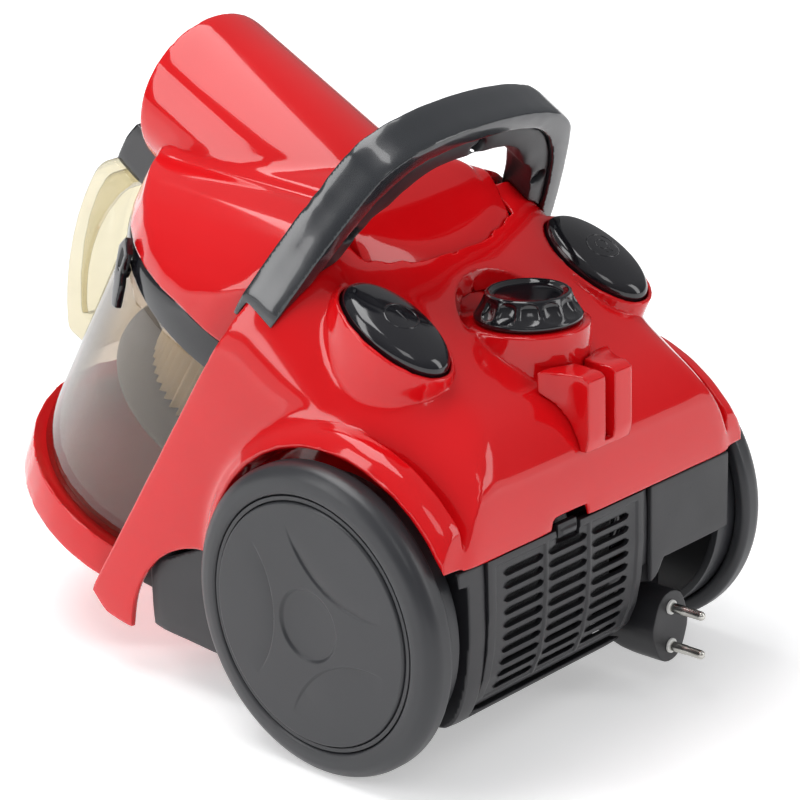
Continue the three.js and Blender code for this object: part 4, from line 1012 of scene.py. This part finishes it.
def vent_relief(points, quads):
    """Sinks the grille's field a little behind its border and the two ribs between its columns."""
    x, z = points[:, 0], points[:, 2]
    middle, half_width, rib_pitch = 23.25 * MM, 48.4 * MM, 29.5 * MM
    foot, head, edge = 36.6 * MM, 99.2 * MM, 0.8 * MM
    rib_inner, rib_outer = 0.7 * MM, 1.3 * MM
    depth = 0.75 * MM
    facing = step_up(point_normals(points, quads)[:, 1], 0.2, 0.6)
    field = step_up(half_width - np.abs(x - middle), 0, edge)
    field *= step_up(z, foot, foot + edge) * (1 - step_up(z, head, head + edge))
    for side in (-0.5, 0.5):
        field *= step_up(np.abs(x - middle - side * rib_pitch), rib_inner, rib_outer)
    moved = points.copy()
    moved[:, 1] -= depth * field * facing
    return moved


def lobe_creases(points, quads):
    """The soft valley that runs back along each of the lid's lobes, steeper on the side by the tube."""
    x, y = np.abs(points[:, 0]), points[:, 1] - SHIFT_Y
    half_width, steepness, valley = 4.6 * MM, 0.6, 1.5 * MM
    lowest_z = 205 * MM
    facing = step_up(point_normals(points, quads)[:, 2], 0.25, 0.6)
    along = step_up(y, -172 * MM, -135 * MM) * (1 - step_up(y, -42 * MM, -26 * MM))
    centre = 45 * MM - 0.03 * (y + 100 * MM)
    across = (x - centre) / half_width
    depth = np.where(across < 0, np.exp(-(across / steepness) ** 2), np.exp(-across ** 2))
    moved = points.copy()
    moved[:, 2] -= valley * depth * along * facing * (points[:, 2] > lowest_z)
    return moved


SHAPES = {"exhaust_cover": vent_relief, "lid_shell": lobe_creases}


def make_moulded_pieces():
    for node, voxel_mm in VOXELS_MM.items():
        refined(node, voxel_mm, KINKS.get(node, USUAL_KINK), SHAPES.get(node))


# ---------- wound cord ----------
def make_wound_cord():
    """The mains lead on its reel: even layers of side-by-side turns, wound as one continuous spiral."""
    diameter = 6.2 * MM
    layers, layer_pitch = 3, 0.93 * diameter
    steps_per_turn = 40
    low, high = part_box("wound_cord")
    middle = (low + high) / 2
    first_radius = (high.z - low.z) / 2 - 2.4 * diameter
    span = high.x - low.x - diameter
    steps = int(span / diameter) * steps_per_turn
    points = []
    for layer in range(layers):
        radius = first_radius + layer_pitch * layer
        for step in range(steps):
            angle = 2 * math.pi * step / steps_per_turn
            along = step / steps
            across = along if layer % 2 == 0 else 1 - along
            points.append((
                low.x + diameter / 2 + span * across,
                middle.y + radius * math.cos(angle),
                middle.z + radius * math.sin(angle),
            ))
    curve = bpy.data.curves.new("wound_cord_lead", "CURVE")
    curve.dimensions = "3D"
    curve.bevel_depth = diameter / 2 * 0.96
    curve.bevel_resolution = 3
    curve.use_fill_caps = True
    spline = curve.splines.new("POLY")
    spline.points.add(len(points) - 1)
    for point, place in zip(spline.points, points):
        point.co = (*place, 1)
    piece = bpy.data.objects.new("wound_cord_lead", curve)
    bpy.context.scene.collection.objects.link(piece)
    curve.materials.append(MATERIALS["black_gloss"])
    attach(piece, BODY_OF["wound_cord"])
    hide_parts("wound_cord")


def make_floor():
    steps, reach, drop = 64, 25, 0.2 * MM
    points = [(0, 0, 0)]
    points += [(reach * math.cos(angle), reach * math.sin(angle), 0) for angle in circle_angles(steps)]
    faces = [(0, 1 + k, 1 + (k + 1) % steps) for k in range(steps)]
    mesh = mesh_from("floor", points, faces, smooth=False)
    mesh.materials.append(MATERIALS["floor"])
    floor = bpy.data.objects.new("floor", mesh)
    bpy.context.scene.collection.objects.link(floor)
    floor.location.z = -drop


make_camera()
make_studio()
make_floor()
for wheel_side, sign in (("left", 1), ("right", -1)):
    make_wheel(wheel_side, sign)
make_pedal("power_pedal", 1, power_mark())
make_pedal("cord_rewind_pedal", -1, rewind_mark())
make_dial()
make_dust_cup()
make_cup_band()
make_pleated_filter()
make_filter_end_disc()
make_plug_pins()
make_wound_cord()
make_moulded_pieces()
